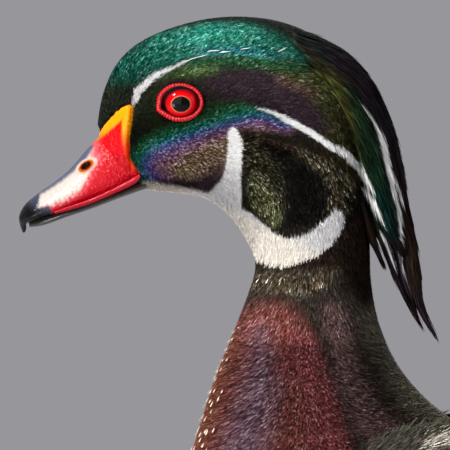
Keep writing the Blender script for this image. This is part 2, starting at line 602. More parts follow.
BLACK_BAR = [(80, -106, 1.2), (70, -117, 2.2), (57, -129, 2.6), (48, -143, 3), (43.5, -158, 3), (43, -172, 2)]
WHITE = mark(242, 242, 240, 0, 0.1)
HEAD_WHITE = mark(208, 207, 208, 0, 0.14)
CHIN_SHADE = mark(224, 217, 206, 0, 0.12)
TRUNK_GROUND, BAR_BLACK = mark(58, 50, 44, 0.2, 0.4), mark(16, 14, 14, 0.2, 0.2)
NECK_TOP, NECK_LOW = -49, -55  # z where the head's marks give way to the body's
NECK_END = (16, 12)  # and the stations


def marks(t, a, ragged=0.0):
    """Tints and sparkle of skin and coat at a station and angle of the body."""
    point = body.at(t, a)
    y, z = point[..., 1], point[..., 2]
    head, white = head_marks(y, z, ragged)
    bright = cover(HEAD_WHITE, WHITE, smooth(-27, -15, z) * smooth(-1, -7, z))
    head = cover(head, cover(CHIN_SHADE, bright, smooth(-31, -26, z + 0.45 * (y - 4))), white)
    trunk = paint(TRUNK_GROUND, y, z, BODY_PAINTS)
    for bar, colour in ((BLACK_BAR, BAR_BLACK), (WHITE_BAR, WHITE)):
        trunk = cover(trunk, colour, smooth(-0.4, 0.4, depth_in(bar, y, z) + ragged))
    hind = smooth(57, 51, y + 0.5 * (z + 50))
    on_head = smooth(NECK_LOW, NECK_TOP, z + 2 * (1 - hind)) * smooth(*NECK_END, t)
    on_collar = white * smooth(-53, -51.5, z) * smooth(*NECK_END, t)
    return cover(trunk, head, np.maximum(on_head, on_collar))


# Any large numbers do here, as long as neighbouring cells of space get quite different ones
CLUMP_WEIGHTS, CLUMP_STEP, CLUMP_GAIN = np.array([74.7, 127.1, 311.7]), 91.3, 43758.5453


def clumps(points, size):
    """A bell-shaped random number, the same for all tufts in a cell of space, size millimetres wide."""
    seed = np.floor(points / np.asarray(size)[..., None]) @ CLUMP_WEIGHTS
    chances = [(np.sin(seed + CLUMP_STEP * k) * CLUMP_GAIN) % 1 for k in range(3)]
    return 2 * sum(chances) - 3


def calm(colour):
    """How much a tuft may change its hue; pale ones hardly do."""
    return (1 - colour.mean(-1, keepdims=True)) ** 2


def varied(tint, rng, grain=None):
    """One tint for each tuft: brighter or darker by its sparkle, with a slight change of hue."""
    chance = rng.standard_normal(len(tint))
    if grain is not None:
        chance = 0.5 * chance + 0.87 * grain
    light = np.exp(tint[:, 4] * chance - 0.45 * tint[:, 4] ** 2)
    hue = 0.17 * calm(tint[:, :3]) * rng.standard_normal((len(tint), 3))
    colour = tint[:, :3] * light[:, None] * np.exp(hue)
    colour = cover(colour, 1.15 * colour.mean(1)[:, None], np.clip(0.28 * (light - 1), 0, 0.45))
    return np.concatenate([np.clip(colour, 0, 0.95), tint[:, 3:4]], 1)


# Materials

class Nodes:
    """Builds a material's node tree around one Principled shader."""

    def __init__(self, name, roughness, **sockets):
        self.material = bpy.data.materials.new(name)
        self.material.use_nodes = True
        self.tree = self.material.node_tree
        self.shader = self.tree.nodes["Principled BSDF"]
        self.shader.inputs["Roughness"].default_value = roughness
        for socket, value in sockets.items():
            self.shader.inputs[socket.replace("_", " ")].default_value = value

    def add(self, kind, values=(), **settings):
        node = self.tree.nodes.new(kind)
        for key, value in settings.items():
            setattr(node, key, value)
        for socket, value in dict(values).items():
            if hasattr(value, "is_output"):
                self.tree.links.new(value, node.inputs[socket])
            else:
                node.inputs[socket].default_value = value
        return node

    def math(self, operation, *values):
        return self.add("ShaderNodeMath", dict(enumerate(values)), operation=operation).outputs[0]

    def noise(self, scale, detail):
        where = self.add("ShaderNodeTexCoord").outputs["Object"]
        values = {"Vector": where, "Scale": scale, "Detail": detail, "Distortion": 0.0}
        return self.add("ShaderNodeTexNoise", values).outputs["Fac"]

    def tint(self, output="Color"):
        return self.add("ShaderNodeAttribute", attribute_name="Tint").outputs[output]

    def feed(self, socket, value):
        self.tree.links.new(value, self.shader.inputs[socket])

    def dimmed(self, tint, factor):
        """Sends a tint, times a factor, to the base colour."""
        scaled = self.add("ShaderNodeVectorMath", {0: tint, "Scale": factor}, operation="SCALE")
        self.feed("Base Color", scaled.outputs[0])

    def colour(self, value, low, high, tint=None):
        """Sends the tint, times a factor from low to high as value goes from 0 to 1, to the base colour."""
        factor = self.add("ShaderNodeMapRange", {"Value": value, "To Min": low, "To Max": high})
        self.dimmed(self.tint() if tint is None else tint, factor.outputs[0])

    def metal(self):
        """Lets the tint's alpha set the metallic shine."""
        self.feed("Metallic", self.tint("Alpha"))

    def bump(self, height, distance, strength):
        values = {"Height": height, "Distance": distance, "Strength": strength}
        self.feed("Normal", self.add("ShaderNodeBump", values).outputs["Normal"])

    def barbs(self, spacing, slant):
        """From 0 to 1 across the barbs of a vane, from its map in millimetres."""
        place = self.add("ShaderNodeUVMap", uv_map="Barbs").outputs[0]
        axes = self.add("ShaderNodeSeparateXYZ", {0: place})
        aside = self.math("MULTIPLY", self.math("ABSOLUTE", axes.outputs[0]), slant)
        wobble = self.math("MULTIPLY", self.noise(900, 2), 0.6)
        along = self.math("ADD", self.math("SUBTRACT", axes.outputs[1], aside), wobble)
        wave = self.math("SINE", self.math("MULTIPLY", along, TURN / spacing))
        return self.math("MULTIPLY_ADD", wave, 0.5, 0.5)


def coat_material(name, roughness, grit):
    """Small feathers: their tint with a fine grain that is strong on dark feathers and weak on white ones."""
    nodes = Nodes(name, roughness, Specular_IOR_Level=0.05)
    tint = nodes.tint()
    bright = nodes.add("ShaderNodeRGBToBW", {0: tint}).outputs[0]
    dark = nodes.math("POWER", nodes.math("SUBTRACT", 1.0, bright), 2.0)
    grain = nodes.noise(3000, 2)
    swing = nodes.math("MULTIPLY", dark, grit)
    nodes.dimmed(tint, nodes.math("MULTIPLY_ADD", nodes.math("SUBTRACT", grain, 0.5), swing, 1.0))
    nodes.metal()
    nodes.bump(grain, 0.00012, 0.3)
    return nodes.material


def vane_material(name, roughness, spacing, slant):
    nodes = Nodes(name, roughness, Specular_IOR_Level=0.4)
    barbs = nodes.barbs(spacing, slant)
    nodes.colour(barbs, 0.8, 1.15)
    nodes.metal()
    nodes.bump(barbs, 0.00012, 0.6)
    return nodes.material


def skin_material(name, roughness, scale, relief, low=0.8, high=1.15, **sockets):
    nodes = Nodes(name, roughness, **sockets)
    grain = nodes.noise(scale, 5)
    nodes.colour(grain, low, high)
    nodes.metal()
    nodes.bump(grain, relief, 0.7)
    return nodes.material


# Skin under the feathers

HEAD_COAT, BODY_COAT = 0.9, 2.6  # depth of the small feathers
SKIN_SHADE = 0.55


def coat_depth(t):
    return lerp(HEAD_COAT, BODY_COAT, smooth(11, 17, t))


def body_skin():
    """The skin of head, neck and body, as deep under the outline as its small feathers are long."""
    t, a = grid((0, LAST, 360), (*SIDES, 144))
    tint = marks(t, np.abs(a))[..., :4]
    tint[..., :3] *= SKIN_SHADE
    return capped(body.raised(t, a, -coat_depth(t)), tint, turned=True)


def tube(path, sizes, around, along, tint):
    """A closed limb along a path with half widths (across, up); its tint may depend on (v, angle)."""
    line, size = spline(path), spline(sizes)
    v, angle = np.linspace(0, 1, along), np.linspace(0, TURN, around, endpoint=False)
    centre, wide = line(v), size(v)
    tangent = unit(np.gradient(centre, axis=0))
    side = unit(np.array([1.0, 0, 0]) - tangent * tangent[:, :1])
    across = side[:, None] * (wide[:, :1] * np.sin(angle))[..., None]
    upward = np.cross(side, tangent)[:, None] * (wide[:, 1:] * np.cos(angle))[..., None]
    colours = tint(*np.meshgrid(v, angle, indexing="ij")) if callable(tint) else tint
    return capped(centre[:, None] + across + upward, colours)


# Coat

def lie(surface, u, w, length, turn):
    """Where a feather's tip comes, from its root (u, w), its length and its turn from straight back."""
    ahead, across = (np.linalg.norm(slope, axis=-1) for slope in surface.slopes(u, w))
    return np.stack([u + length * np.cos(turn) / ahead, w + length * np.sin(turn) / across], 1)


def body_tufts(seed, count, span, length, width, lift, rough, turn=0.12, keep=None, sweep=None, grain=None):
    """Tufts over both sides of a length of the body; length and width are numbers or functions of (t, a).

    Rough frays the edges of markings, turn and sweep bend tufts aside at random and by place, keep leaves
    some out, and grain is the size of clumps of one brightness.
    """
    rng = np.random.default_rng(seed)
    t, a = spread(count, body, span, SIDES)
    value = lambda size: size(t, np.abs(a)) if callable(size) else np.full(len(t), float(size))
    if keep is not None:
        chosen = keep(t, np.abs(a))
        t, a = t[chosen], a[chosen]
    long = value(length) * rng.uniform(0.75, 1.25, len(t))
    wide = value(width) * rng.uniform(0.75, 1.25, len(t))
    bend = turn * rng.standard_normal(len(t))
    if sweep is not None:
        bend = bend + np.sign(a) * sweep(t, np.abs(a))
    roots = np.stack([t, a], 1)
    tips = lie(body, t, a, long, bend)
    middle = lerp(roots, tips, 0.6)
    tint = marks(middle[:, 0], np.abs(middle[:, 1]), rough * rng.standard_normal(len(t)))
    tint = varied(tint, rng, None if grain is None else clumps(body.at(*middle.T), value(grain)))
    high = value(lift) * rng.uniform(0.3, 1.3, len(t))
    tilt = 0.22 * wide * rng.standard_normal(len(t))
    rise = (-coat_depth(t) - 0.05, high)
    return tufts(body, roots, tips, wide, rise, tint, (span, SIDES), tilt=tilt)


face = Surface(lambda y, z: body.at(*places_on_side(y, z, 0, 9)), step=0.2)
HAIRS = [  # white hairs behind the brow: places (y, z) of their roots and tips
    [(-2.4, 11.1), (2.2, 13.2)], [(0.4, 12.4), (4.6, 13.9)], [(2.8, 13.4), (6.4, 14.4)],
    [(5.2, 14.1), (8.6, 14.9)], [(8.4, 15.9), (11.2, 16.3)], [(9.2, 16.2), (12.4, 16.1)],
    [(12.2, 15.6), (16.0, 15.9)], [(12.8, 15.9), (15.2, 15.8)], [(18.8, 16.6), (21.8, 17.0)],
    [(30.4, 15.8), (33.4, 17.2)],
]


def brow_hairs():
    ends = np.array(HAIRS)
    tint = np.tile(HEAD_WHITE[:4], (len(ends), 1))
    spans = ((-30, 60), (-60, 30))
    left = tufts(face, ends[:, 0], ends[:, 1], 0.26, (0.15, 0.35), tint, spans, 4, LOCK, 0.1)
    return joined([left, left.mirrored()])


SPOT_ROWS, SPOT_COLUMNS = 34, 16
SPOT_STATIONS = (12.9, 19.6)
SPOT_REACH = ([12.9, 14, 15, 16, 17, 18.5, 19.6], [0.34, 0.48, 0.58, 0.74, 1.0, 1.2, 0.9])
SPOT_LOWEST = -196


def breast_spots():
    """White wedges in rows over the front of neck and breast, growing downwards."""
    rng = np.random.default_rng(12)
    columns = np.arange(-SPOT_COLUMNS, SPOT_COLUMNS + 1)
    t, across = np.meshgrid(np.linspace(*SPOT_STATIONS, SPOT_ROWS), columns, indexing="ij")
    apart = lerp(2.6, 5.2, smooth(13, 17, t))
    girth = np.linalg.norm(body.slopes(t, np.full(t.shape, math.pi * 0.95))[1], axis=-1)
    offset = (across + 0.5 * (np.arange(SPOT_ROWS)[:, None] % 2)) * apart / girth
    a = math.pi - np.abs(offset) + 0.02 * rng.standard_normal(t.shape)
    t = t + 0.03 * rng.standard_normal(t.shape)
    reach = np.interp(t, *SPOT_REACH)
    shown = np.abs(offset) < reach * rng.uniform(0.75, 1.1, t.shape)
    shown &= body.at(t, a)[..., 2] > SPOT_LOWEST
    t, a = t[shown], (a * np.sign(offset + 1e-6))[shown]
    growth = smooth(13, 17, t)
    long = lerp(1.2, 2.6, growth) * rng.uniform(0.8, 1.2, len(t))
    wide = lerp(0.7, 1.5, growth) * rng.uniform(0.8, 1.2, len(t))
    tips = lie(body, t, a, long, 0.1 * rng.standard_normal(len(t)))
    tint = np.tile(srgb(244, 226, 200), (len(t), 1))
    spans = ((12, 20), SIDES)
    return tufts(body, np.stack([t, a], 1), tips, wide, (0.5, 0.85), tint, spans, 4, SPOT, 0.05)


# The ring of lids
LID_CENTRE, LID_HALF = (0.2, -0.07), (6.45, 5.1)
LID_CORNER, LID_CORNER_TURN = 0.6, 203 * DEG


def lid_place(turn, grow=0.0):
    """The ring's middle line in the side view, with its pointed corner towards the bill."""
    away = (turn - LID_CORNER_TURN + math.pi) % TURN - math.pi
    corner = LID_CORNER * np.exp(-((away / 0.22) ** 2))
    return (
        LID_CENTRE[0] + (LID_HALF[0] + grow + corner) * np.cos(turn),
        LID_CENTRE[1] + (LID_HALF[1] + grow + corner) * np.sin(turn),
    )


def clear_of_lids(y, z, grow):
    ahead, up = y - LID_CENTRE[0], z - LID_CENTRE[1]
    edge_y, edge_z = lid_place(np.arctan2(up / LID_HALF[1], ahead / LID_HALF[0]), grow)
    return np.hypot(ahead, up) > np.hypot(edge_y - LID_CENTRE[0], edge_z - LID_CENTRE[1])


# Eyes

EYE_CENTRE = np.array([EYE_OUT, 0, 0])
PUPIL, PUPIL_AT = (2.65, 2.3), (0.0, -0.4)  # half sizes and place of the pupil
IRIS, IRIS_FLAT, IRIS_AT = 5.05, 1.14, (0.5, -0.35)  # radius of the iris, how much lower it is, and its place
CORNEA_RISE = 0.35
EYE_BLACK, EYE_RIM = srgb(4, 4, 5), srgb(16, 4, 5)
LID_TURNS, LID_AROUND, BEADS = 360, 20, 46


def eyeball():
    polar, turn = grid((0.001, math.pi, 96), (0, TURN, 120))
    bulge = EYE_RADIUS + CORNEA_RISE * smooth(60 * DEG, 20 * DEG, polar)
    across, up = np.sin(polar) * np.cos(turn), np.sin(polar) * np.sin(turn)
    points = EYE_CENTRE + [0, 0.15, 0] + bulge[..., None] * np.stack([np.cos(polar), 1.05 * across, up], -1)
    y, z = EYE_RADIUS * across, EYE_RADIUS * up
    away = np.hypot(y - IRIS_AT[0], (z - IRIS_AT[1]) * IRIS_FLAT)
    pupil = np.hypot((y - PUPIL_AT[0]) / PUPIL[0], (z - PUPIL_AT[1]) / PUPIL[1])
    fibres = 0.5 + 0.5 * np.sin(turn * 47 + 3 * np.sin(turn * 11)) * np.sin(away * 5 + 2 * np.sin(turn * 17))
    tint = cover(srgb(186, 0, 10), srgb(222, 8, 18), fibres * smooth(5, 3, away))
    for colour, share in (
        (srgb(120, 0, 10), smooth(IRIS - 1.5, IRIS - 0.1, away + 0.1 * y)),
        (srgb(206, 128, 92), 0.75 * smooth(1.12, 1.04, pupil)),
        (EYE_BLACK, smooth(1.05, 0.97, pupil)),
        (EYE_RIM, smooth(IRIS - 0.12, IRIS + 0.15, away)),
    ):
        tint = cover(tint, colour, share)
    tint = np.where((np.cos(polar) < 0)[..., None], EYE_RIM, tint)
    return Mesh(points, sheet_faces(*polar.shape, closed=True)[:, ::-1], tint.reshape(-1, 4))


def lid_ring():
    """A beaded ring of bare skin, with a dark inner slope down to the eyeball."""
    turn, about = np.meshgrid(
        *(np.linspace(0, TURN, count, endpoint=False) for count in (LID_TURNS, LID_AROUND)), indexing="ij")
    beads = 0.5 + 0.5 * np.cos(turn * BEADS + 0.8 * np.sin(turn * 5))
    outer = smooth(-0.2, 0.9, np.cos(about) + 0.5 * np.sin(about))
    half = 0.72 - 0.17 * np.cos(turn) + 0.2 * beads * outer
    y, z = lid_place(turn, half * np.cos(about) * 0.95)
    points = on_side(y, z, 0.95 + half * np.sin(about))
    tint = cover(srgb(128, 0, 8), srgb(222, 12, 24), beads * outer)
    tint = cover(tint, srgb(40, 0, 4), smooth(0.35, 1.0, -np.cos(about) - 0.3 * np.sin(about)))
    return Mesh(points, ring_faces(*turn.shape), tint.reshape(-1, 4))


def socket():
    """The dark skin between the ring and the eyeball."""
    share, turn = grid((0, 1, 8), (0, TURN, 120))
    y, z = lid_place(turn)
    points = on_side(y * lerp(0.6, 1, share), z * lerp(0.6, 1, share), -0.5 + 1.2 * share)
    return Mesh(points, sheet_faces(*turn.shape, closed=True), srgb(30, 2, 4))


# Bill

UPPER_BILL = [
    [-18.0, -4.0, -9.0, -21.0, 10.6],
    [-28.1, -13.3, -19.0, -27.4, 9.8],
    [-34.8, -20.9, -28.1, -30.8, 8.8],
    [-39.7, -25.0, -34.5, -33.1, 8.2],
    [-44.4, -28.3, -40.5, -35.4, 7.8],
    [-48.8, -31.9, -46.0, -37.3, 6.4],
    [-50.9, -35.6, -48.6, -38.4, 3.6],
    [-50.7, -38.6, -48.6, -39.8, 2.2],
    [-49.8, -41.2, -49.2, -41.2, 0.8],
]
LOWER_BILL = [
    [-11.6, -24.0, -10.8, -27.2, 7.0],
    [-19.0, -27.2, -18.2, -29.8, 8.4],
    [-28.1, -30.6, -27.5, -33.3, 7.8],
    [-36.5, -32.9, -36.0, -36.2, 7.0],
    [-43.5, -35.2, -43.0, -38.7, 6.0],
    [-48.0, -36.9, -47.6, -39.4, 3.0],
]
BILL_WIDEST = -0.5
LAPPET = [
    (-27.8, -12.6), (-25.9, -9.8), (-23.7, -6.8), (-20.1, -2.8), (-17.6, -0.9), (-15.9, -0.5),
    (-15.2, -1.8), (-15.4, -4), (-15.9, -7.5), (-16.4, -11), (-16.4, -17), (-15.4, -20.5), (-12.8, -22.9),
    (-20, -27), (-32, -22),
]
LAPPET_RISE = 1.1
NOSTRIL = (-29.7, -20.0)
NOSTRIL_HALF = (2.15, 1.15)
NOSTRIL_TILT = 0.6
# Yellow edges of the bill's skin, as strokes of (y, z, width)
FOREHEAD_BAND = [
    (-15.9, -0.5, 3.3), (-20.1, -2.8, 3.1), (-23.7, -6.8, 2.5), (-25.9, -9.8, 1.7), (-27.8, -12.6, 0.8),
]
REAR_BAND = [
    (-15.2, -1.5, 3.2), (-15.5, -4.5, 3.0), (-15.9, -7.5, 2.5), (-16.4, -11, 2.0), (-16.4, -15, 1.5),
    (-16.1, -18, 0.9), (-14.8, -21.4, 0.3),
]
CULMEN = [
    (-27.8, -13.2, 0.7), (-31.4, -17.4, 1.7), (-35, -20.8, 1.6), (-39.7, -24.6, 1.4), (-43.5, -27.2, 1.3),
]
BILL_WHITE = [
    (-26.6, -13.0), (-30.2, -16.4), (-33.6, -19.6), (-39.8, -23.2), (-42.8, -25.4), (-45.6, -27.4),
    (-46.4, -31), (-45, -34), (-40.4, -32.4), (-35.9, -30.6), (-31.4, -27.6), (-29.4, -24.4), (-28, -21),
    (-26.8, -17),
]
BILL_BLACK = [
    (-43.4, -26), (-44.6, -30.6), (-44.8, -33.2), (-41.4, -32.4), (-40.5, -34.4), (-41, -38), (-52, -44),
    (-55, -34), (-48, -26),
]


def ripples(places, scale, seed=0):
    """A soft unevenness of places, about from -1 to 1, from waves about scale long that run all ways."""
    rng = np.random.default_rng(seed)
    total = np.zeros(places.shape[:-1])
    for _ in range(12):
        way = unit(rng.standard_normal(places.shape[-1])) * TURN / (scale * rng.uniform(0.7, 1.5))
        total += np.sin(places @ way + rng.uniform(0, TURN))
    return total / 4


def form(stations, around, along):
    """A closed form of the bill."""
    v, angle = grid((0, 1, along), (*SIDES, around))
    return capped(profile_surface(stations, BILL_WIDEST)(v, angle), turned=True)


def fused(parts, voxel, rounds):
    """One smooth closed mesh round several closed ones."""
    mesh = joined(parts)
    data = bpy.data.meshes.new("fusing")
    data.from_pydata((mesh.points * MM).tolist(), [], mesh.faces.tolist())
    made = bpy.data.objects.new("fusing", data)
    bpy.context.collection.objects.link(made)
    remesh = made.modifiers.new("remesh", "REMESH")
    remesh.mode, remesh.voxel_size = "VOXEL", voxel * MM
    soften = made.modifiers.new("smooth", "SMOOTH")
    soften.iterations, soften.factor = rounds, 0.5
    result = made.evaluated_get(bpy.context.evaluated_depsgraph_get()).to_mesh()
    points = np.empty(3 * len(result.vertices))
    result.vertices.foreach_get("co", points)
    result.calc_loop_triangles()
    faces = np.empty(3 * len(result.loop_triangles), int)
    result.loop_triangles.foreach_get("vertices", faces)
    bpy.data.objects.remove(made)
    bpy.data.meshes.remove(data)
    return Mesh(points.reshape(-1, 3) / MM, faces, NO_TINT)


def bill_tint(points):
    y, z = points[:, 1], points[:, 2]
    mottle = 0.8 * ripples(points, 1.6, 3) + 0.6 * ripples(points, 0.9, 4)
    red = cover(srgb(166, 0, 18), srgb(206, 2, 4), smooth(-20, -8, z))
    red = cover(red, srgb(206, 54, 68), 0.4 * smooth(0.7, 1.6, mottle) * smooth(-12, -22, z))
    white = smooth(-2.4, 1.7, outline_depth(BILL_WHITE, y, z) + 0.5 * mottle)
    pale = smooth(0.3, 0.9, white) * smooth(-26.5, -29.5, y + 0.8 * mottle)
    nail_light = smooth(-35, -30, z + 0.4 * (y + 46)) * smooth(-50, -47, y)
    nail = cover(srgb(8, 8, 10), srgb(52, 58, 74), nail_light)
    orange = cover(srgb(226, 50, 6), srgb(232, 140, 0), smooth(-15, -7, z))
    band = np.maximum(depth_in(REAR_BAND, y, z), depth_in(FOREHEAD_BAND, y, z))
    tint = cover(red, cover(srgb(200, 92, 100), srgb(176, 168, 160), pale), white)
    tint = cover(tint, srgb(74, 78, 98), smooth(-0.7, 0.6, depth_in(CULMEN, y, z) + 0.12 * mottle))
    tint = cover(tint, nail, smooth(-0.6, 0.5, outline_depth(BILL_BLACK, y, z) + 0.1 * mottle))
    return cover(tint, orange, smooth(-0.5, 0.5, band + 0.08 * mottle))


def upper_bill():
    """The bare skin over the head's front, grown together with the upper bill."""
    t, a = grid((0.02, 5, 110), (*SIDES, 140))
    flat = body.at(t, a)
    inside = outline_depth(LAPPET, flat[..., 1], flat[..., 2])
    rim = 0.4 * smooth(0, 1.4, inside) * smooth(3.6, 1.8, inside)
    rise = LAPPET_RISE - 0.4 - 0.9 * smooth(-21.5, -29, flat[..., 1])
    skin = capped(body.raised(t, a, lerp(-2.5, rise, smooth(-0.35, 0.25, inside)) + rim), turned=True)
    return finished_bill(fused([skin, form(UPPER_BILL, 96, 60)], 0.26, 5))


def outward(mesh):
    """The mesh's normals at its points."""
    corners = mesh.points[mesh.faces]
    turned = np.cross(corners[:, 1] - corners[:, 0], corners[:, 2] - corners[:, 0])
    normals = np.zeros_like(mesh.points)
    for k in range(3):
        np.add.at(normals, mesh.faces[:, k], turned)
    return unit(normals)


def finished_bill(bill):
    """Sinks the nostrils, wrinkles and colours the bill and drops what lies hidden under the feathers."""
    x, y, z = bill.points.T
    along, up = y - NOSTRIL[0], z - NOSTRIL[1]
    turned = (along * math.cos(NOSTRIL_TILT) + up * math.sin(NOSTRIL_TILT),
              up * math.cos(NOSTRIL_TILT) - along * math.sin(NOSTRIL_TILT))
    away = np.hypot(turned[0] / NOSTRIL_HALF[0], turned[1] / NOSTRIL_HALF[1])
    tint = cover(bill_tint(bill.points), srgb(178, 162, 152), smooth(2.0, 1.6, away))
    tint = cover(tint, srgb(176, 84, 10), smooth(1.45, 1.2, away) * smooth(0.6, 0.9, away))
    bill.tint = cover(tint, srgb(64, 20, 16), smooth(0.95, 0.7, away))
    fleshy = smooth(-26, -20, y)
    for band in (FOREHEAD_BAND, REAR_BAND):
        fleshy = fleshy * smooth(-0.3, 0.8, -depth_in(band, y, z))
    coarse, fine = ripples(bill.points * [1, 1.6, 0.8], 1.7, 5), ripples(bill.points, 0.8, 6)
    wrinkles = np.abs(coarse) + 0.5 * np.abs(fine)
    relief = (wrinkles - 0.6) * (0.05 + 0.24 * fleshy) * smooth(1.5, 2.2, away) * smooth(-42, -38, y)
    bill.points += outward(bill) * relief[:, None]
    sink = 2.2 * smooth(1.05, 0.5, away) - 0.4 * smooth(1.8, 1.3, away) * smooth(0.95, 1.2, away)
    bill.points[:, 0] -= np.sign(x) * sink * smooth(1, 3, np.abs(x))
    skin = body.at(*places_on_side(y, z, 0, 6))[:, 0]
    hidden = (np.abs(x) < skin - 1.4) & (outline_depth(LAPPET, y, z) < -1) & (y > -25)
    hidden |= (y > -12) | ((y > -24) & (np.abs(x) < skin - 2.2))
    bill.faces = bill.faces[~hidden[bill.faces].any(1)]
    return bill


def lower_bill():
    mesh = form(LOWER_BILL, 64, 60)
    mesh.tint = cover(srgb(34, 33, 34), srgb(66, 62, 56), smooth(-34, -14, mesh.points[:, 1]))
    return mesh


GAPE = [
    (-12.8, -22.9, 0.35), (-13.9, -23.9, 0.85), (-15.5, -25.0, 1.0), (-20.1, -27.3, 0.9), (-25, -29.6, 0.8),
    (-29.8, -31.5, 0.75), (-34.6, -33.0, 0.7), (-39.6, -34.6, 0.45),
]


def gape_lip():
    """The rolled edge of the upper bill, from the corner of the mouth forward."""
    y, z, thick = np.array(GAPE).T
    widths = spline(np.array(UPPER_BILL)[:, [2, 4]])(np.linspace(0, 1, 80))
    half = np.interp(y, widths[::-1, 0], widths[::-1, 1])
    cheek = np.abs(on_side(y, z, 0.2, 0, 6)[:, 0])
    x = np.where(y > -17, np.maximum(half, cheek) + 0.1, half + 0.1)
    colour = lambda v, angle: cover(srgb(172, 30, 42), srgb(150, 0, 22), smooth(0, 0.5, v))
    return tube(np.stack([x, y, z], 1), np.stack([thick, thick], 1), 16, 90, colour)


# Crest

CREST = [
    [36.0, 24.0, 34.0, 14.0, 12.0],
    [48.5, 18.0, 42.0, 6.0, 17.0],
    [56.5, 11.6, 48.0, -2.0, 18.2],
    [62.6, 2.3, 52.0, -10.0, 17.6],
    [67.2, -9.5, 55.0, -20.0, 16.0],
    [70.2, -22.1, 57.5, -30.0, 13.5],
    [71.9, -34.5, 60.5, -40.0, 10.0],
    [73.4, -44.5, 65.0, -47.0, 6.5],
    [74.2, -50.5, 70.0, -52.0, 2.4],
]
crest = Surface(profile_surface(CREST, 0.0), outward=-1, step=0.004)
# Locks that hang from the crest: how many strands, and joints [x, y, z, half width, half depth from the side]
LOCKS = [
    (260, [
        [7.5, 55.5, -26, 2.2, 1.2], [6.6, 59.4, -40, 1.8, 1.1], [5.8, 61.7, -46.6, 1.2, 0.7],
        [5, 64.1, -52.2, 0.3, 0.12],
    ]),
    (420, [
        [6.5, 60, -30, 2.4, 1.6], [5.4, 63.9, -43.5, 2, 1.3], [4.6, 66.6, -51.7, 1.4, 0.95],
        [4, 69.2, -58.3, 1, 0.7], [3.2, 72.6, -65, 0.7, 0.4], [2.4, 76, -71, 0.2, 0.1],
    ]),
    (380, [
        [4.5, 65, -34, 2.4, 1.6], [3.6, 68, -46, 1.9, 1.1], [3, 69.6, -54, 1.4, 0.8],
        [2.4, 71.8, -61, 0.9, 0.5], [1.6, 74.5, -68, 0.2, 0.1],
    ]),
    (900, [
        [3, 67.5, -26, 4, 2.6], [2.4, 71.2, -42, 3.2, 2.4], [1.9, 73.2, -53.7, 2.5, 2.2],
        [1.5, 74.6, -61.4, 1.8, 1.6], [1, 76.4, -66.9, 1.1, 0.9], [0.6, 80.2, -73.8, 0.3, 0.15],
    ]),
]


def lock_surface(joints):
    """A hanging lock round a line of joints."""
    joints = np.array(joints, float)
    line, size = spline(joints[:, :3]), spline(joints[:, 3:])

    def at(v, angle):
        ahead = unit((line(v + 0.01) - line(v - 0.01)) * [0, 1, 1])
        side = np.stack([0 * ahead[..., 0], -ahead[..., 2], ahead[..., 1]], -1)
        wide = size(v)
        return line(v) + side * (wide[..., 1] * np.cos(angle))[..., None] \
            + np.array([1.0, 0, 0]) * (wide[..., 0] * np.sin(angle))[..., None]

    return Surface(at, outward=-1, step=0.004)


STRAND_WIDTH, STRAND_ROWS = 0.42, 5


def strands(seed, count, surface, span, length, depth):
    """Long fine strands that follow a hanging form and draw together at its tip."""
    rng = np.random.default_rng(seed)
    v, angle = spread(count, surface, span, SIDES)
    ahead = np.linalg.norm(surface.slopes(v, angle)[0], axis=-1)
    tips = np.minimum(v + rng.uniform(*length, count) / ahead, 1.0 + 0.03 * rng.standard_normal(count))
    drawn = angle * lerp(1, 0.8, rng.uniform(0, 1, count)) + 0.04 * rng.standard_normal(count)
    roots, ends = np.stack([v, angle], 1), np.stack([tips, drawn], 1)
    path = lerp(roots[:, None], ends[:, None], np.linspace(0, 1, STRAND_ROWS)[None, :, None])
    point = surface.at(path[..., 0], path[..., 1])
    ragged = np.broadcast_to(0.12 * rng.standard_normal((count, 1)), point.shape[:2])
    tint, white = head_marks(point[..., 1], point[..., 2], ragged)
    tint = cover(tint, WHITE, white)
    hue = 0.1 * calm(tint[..., :3]) * rng.standard_normal((count, 1, 3))
    light = np.exp(1.3 * tint[..., 4:] * rng.standard_normal((count, 1, 1)) - 0.35 + hue)
    tint = np.concatenate([np.clip(tint[..., :3] * np.minimum(light, 2.4), 0, 0.95), tint[..., 3:4]], -1)
    rise = (-depth * rng.uniform(0.4, 1.4, count), 0.3 * rng.standard_normal(count))
    wide = STRAND_WIDTH * rng.uniform(0.7, 1.3, count)
    tilt = 0.3 * wide * rng.standard_normal(count)
    return tufts(surface, roots, ends, wide, rise, tint, (span, SIDES), STRAND_ROWS, LOCK, 0.15, tilt)


def crest_locks():
    parts = [strands(7, 12500, crest, (0.0, 0.97), (6, 18), 1.0)]
    for seed, (count, joints) in enumerate(LOCKS, 60):
        hanging = strands(seed, count, lock_surface(joints), (0.0, 0.8), (8, 22), 0.3)
        parts += [hanging, hanging.mirrored()]
    return joined(parts)


def crest_core():
    v, angle = grid((0, 0.8, 90), (*SIDES, 60))
    points = crest.raised(v, angle, -1.3 - 0.5 * smooth(0.5, 0.8, v))
    tint = head_marks(points[..., 1], points[..., 2])[0][..., :4] * [0.5, 0.5, 0.5, 1]
    return Mesh(points, sheet_faces(*v.shape, closed=True)[:, ::-1], tint.reshape(-1, 4))


# Wings

WING_SHELL = np.array([
    [[38, 52, -108], [51, 50, -128], [54, 47, -152]],
    [[30, 82, -101], [51.5, 80, -124], [59, 78, -158]],
    [[27, 115, -110], [54.5, 113, -140], [58.5, 113, -173]],
    [[25, 150, -119], [50.5, 150, -145], [54, 148, -177]],
    [[21, 190, -133], [40.5, 190, -151], [40.5, 190, -171]],
    [[15, 226, -142], [25.5, 226, -150], [27, 223, -162]],
    [[13.5, 262, -148.5], [17.5, 263, -151.5], [19.5, 261, -155]],
])
wing_edges = [spline(WING_SHELL[:, i]) for i in range(3)]


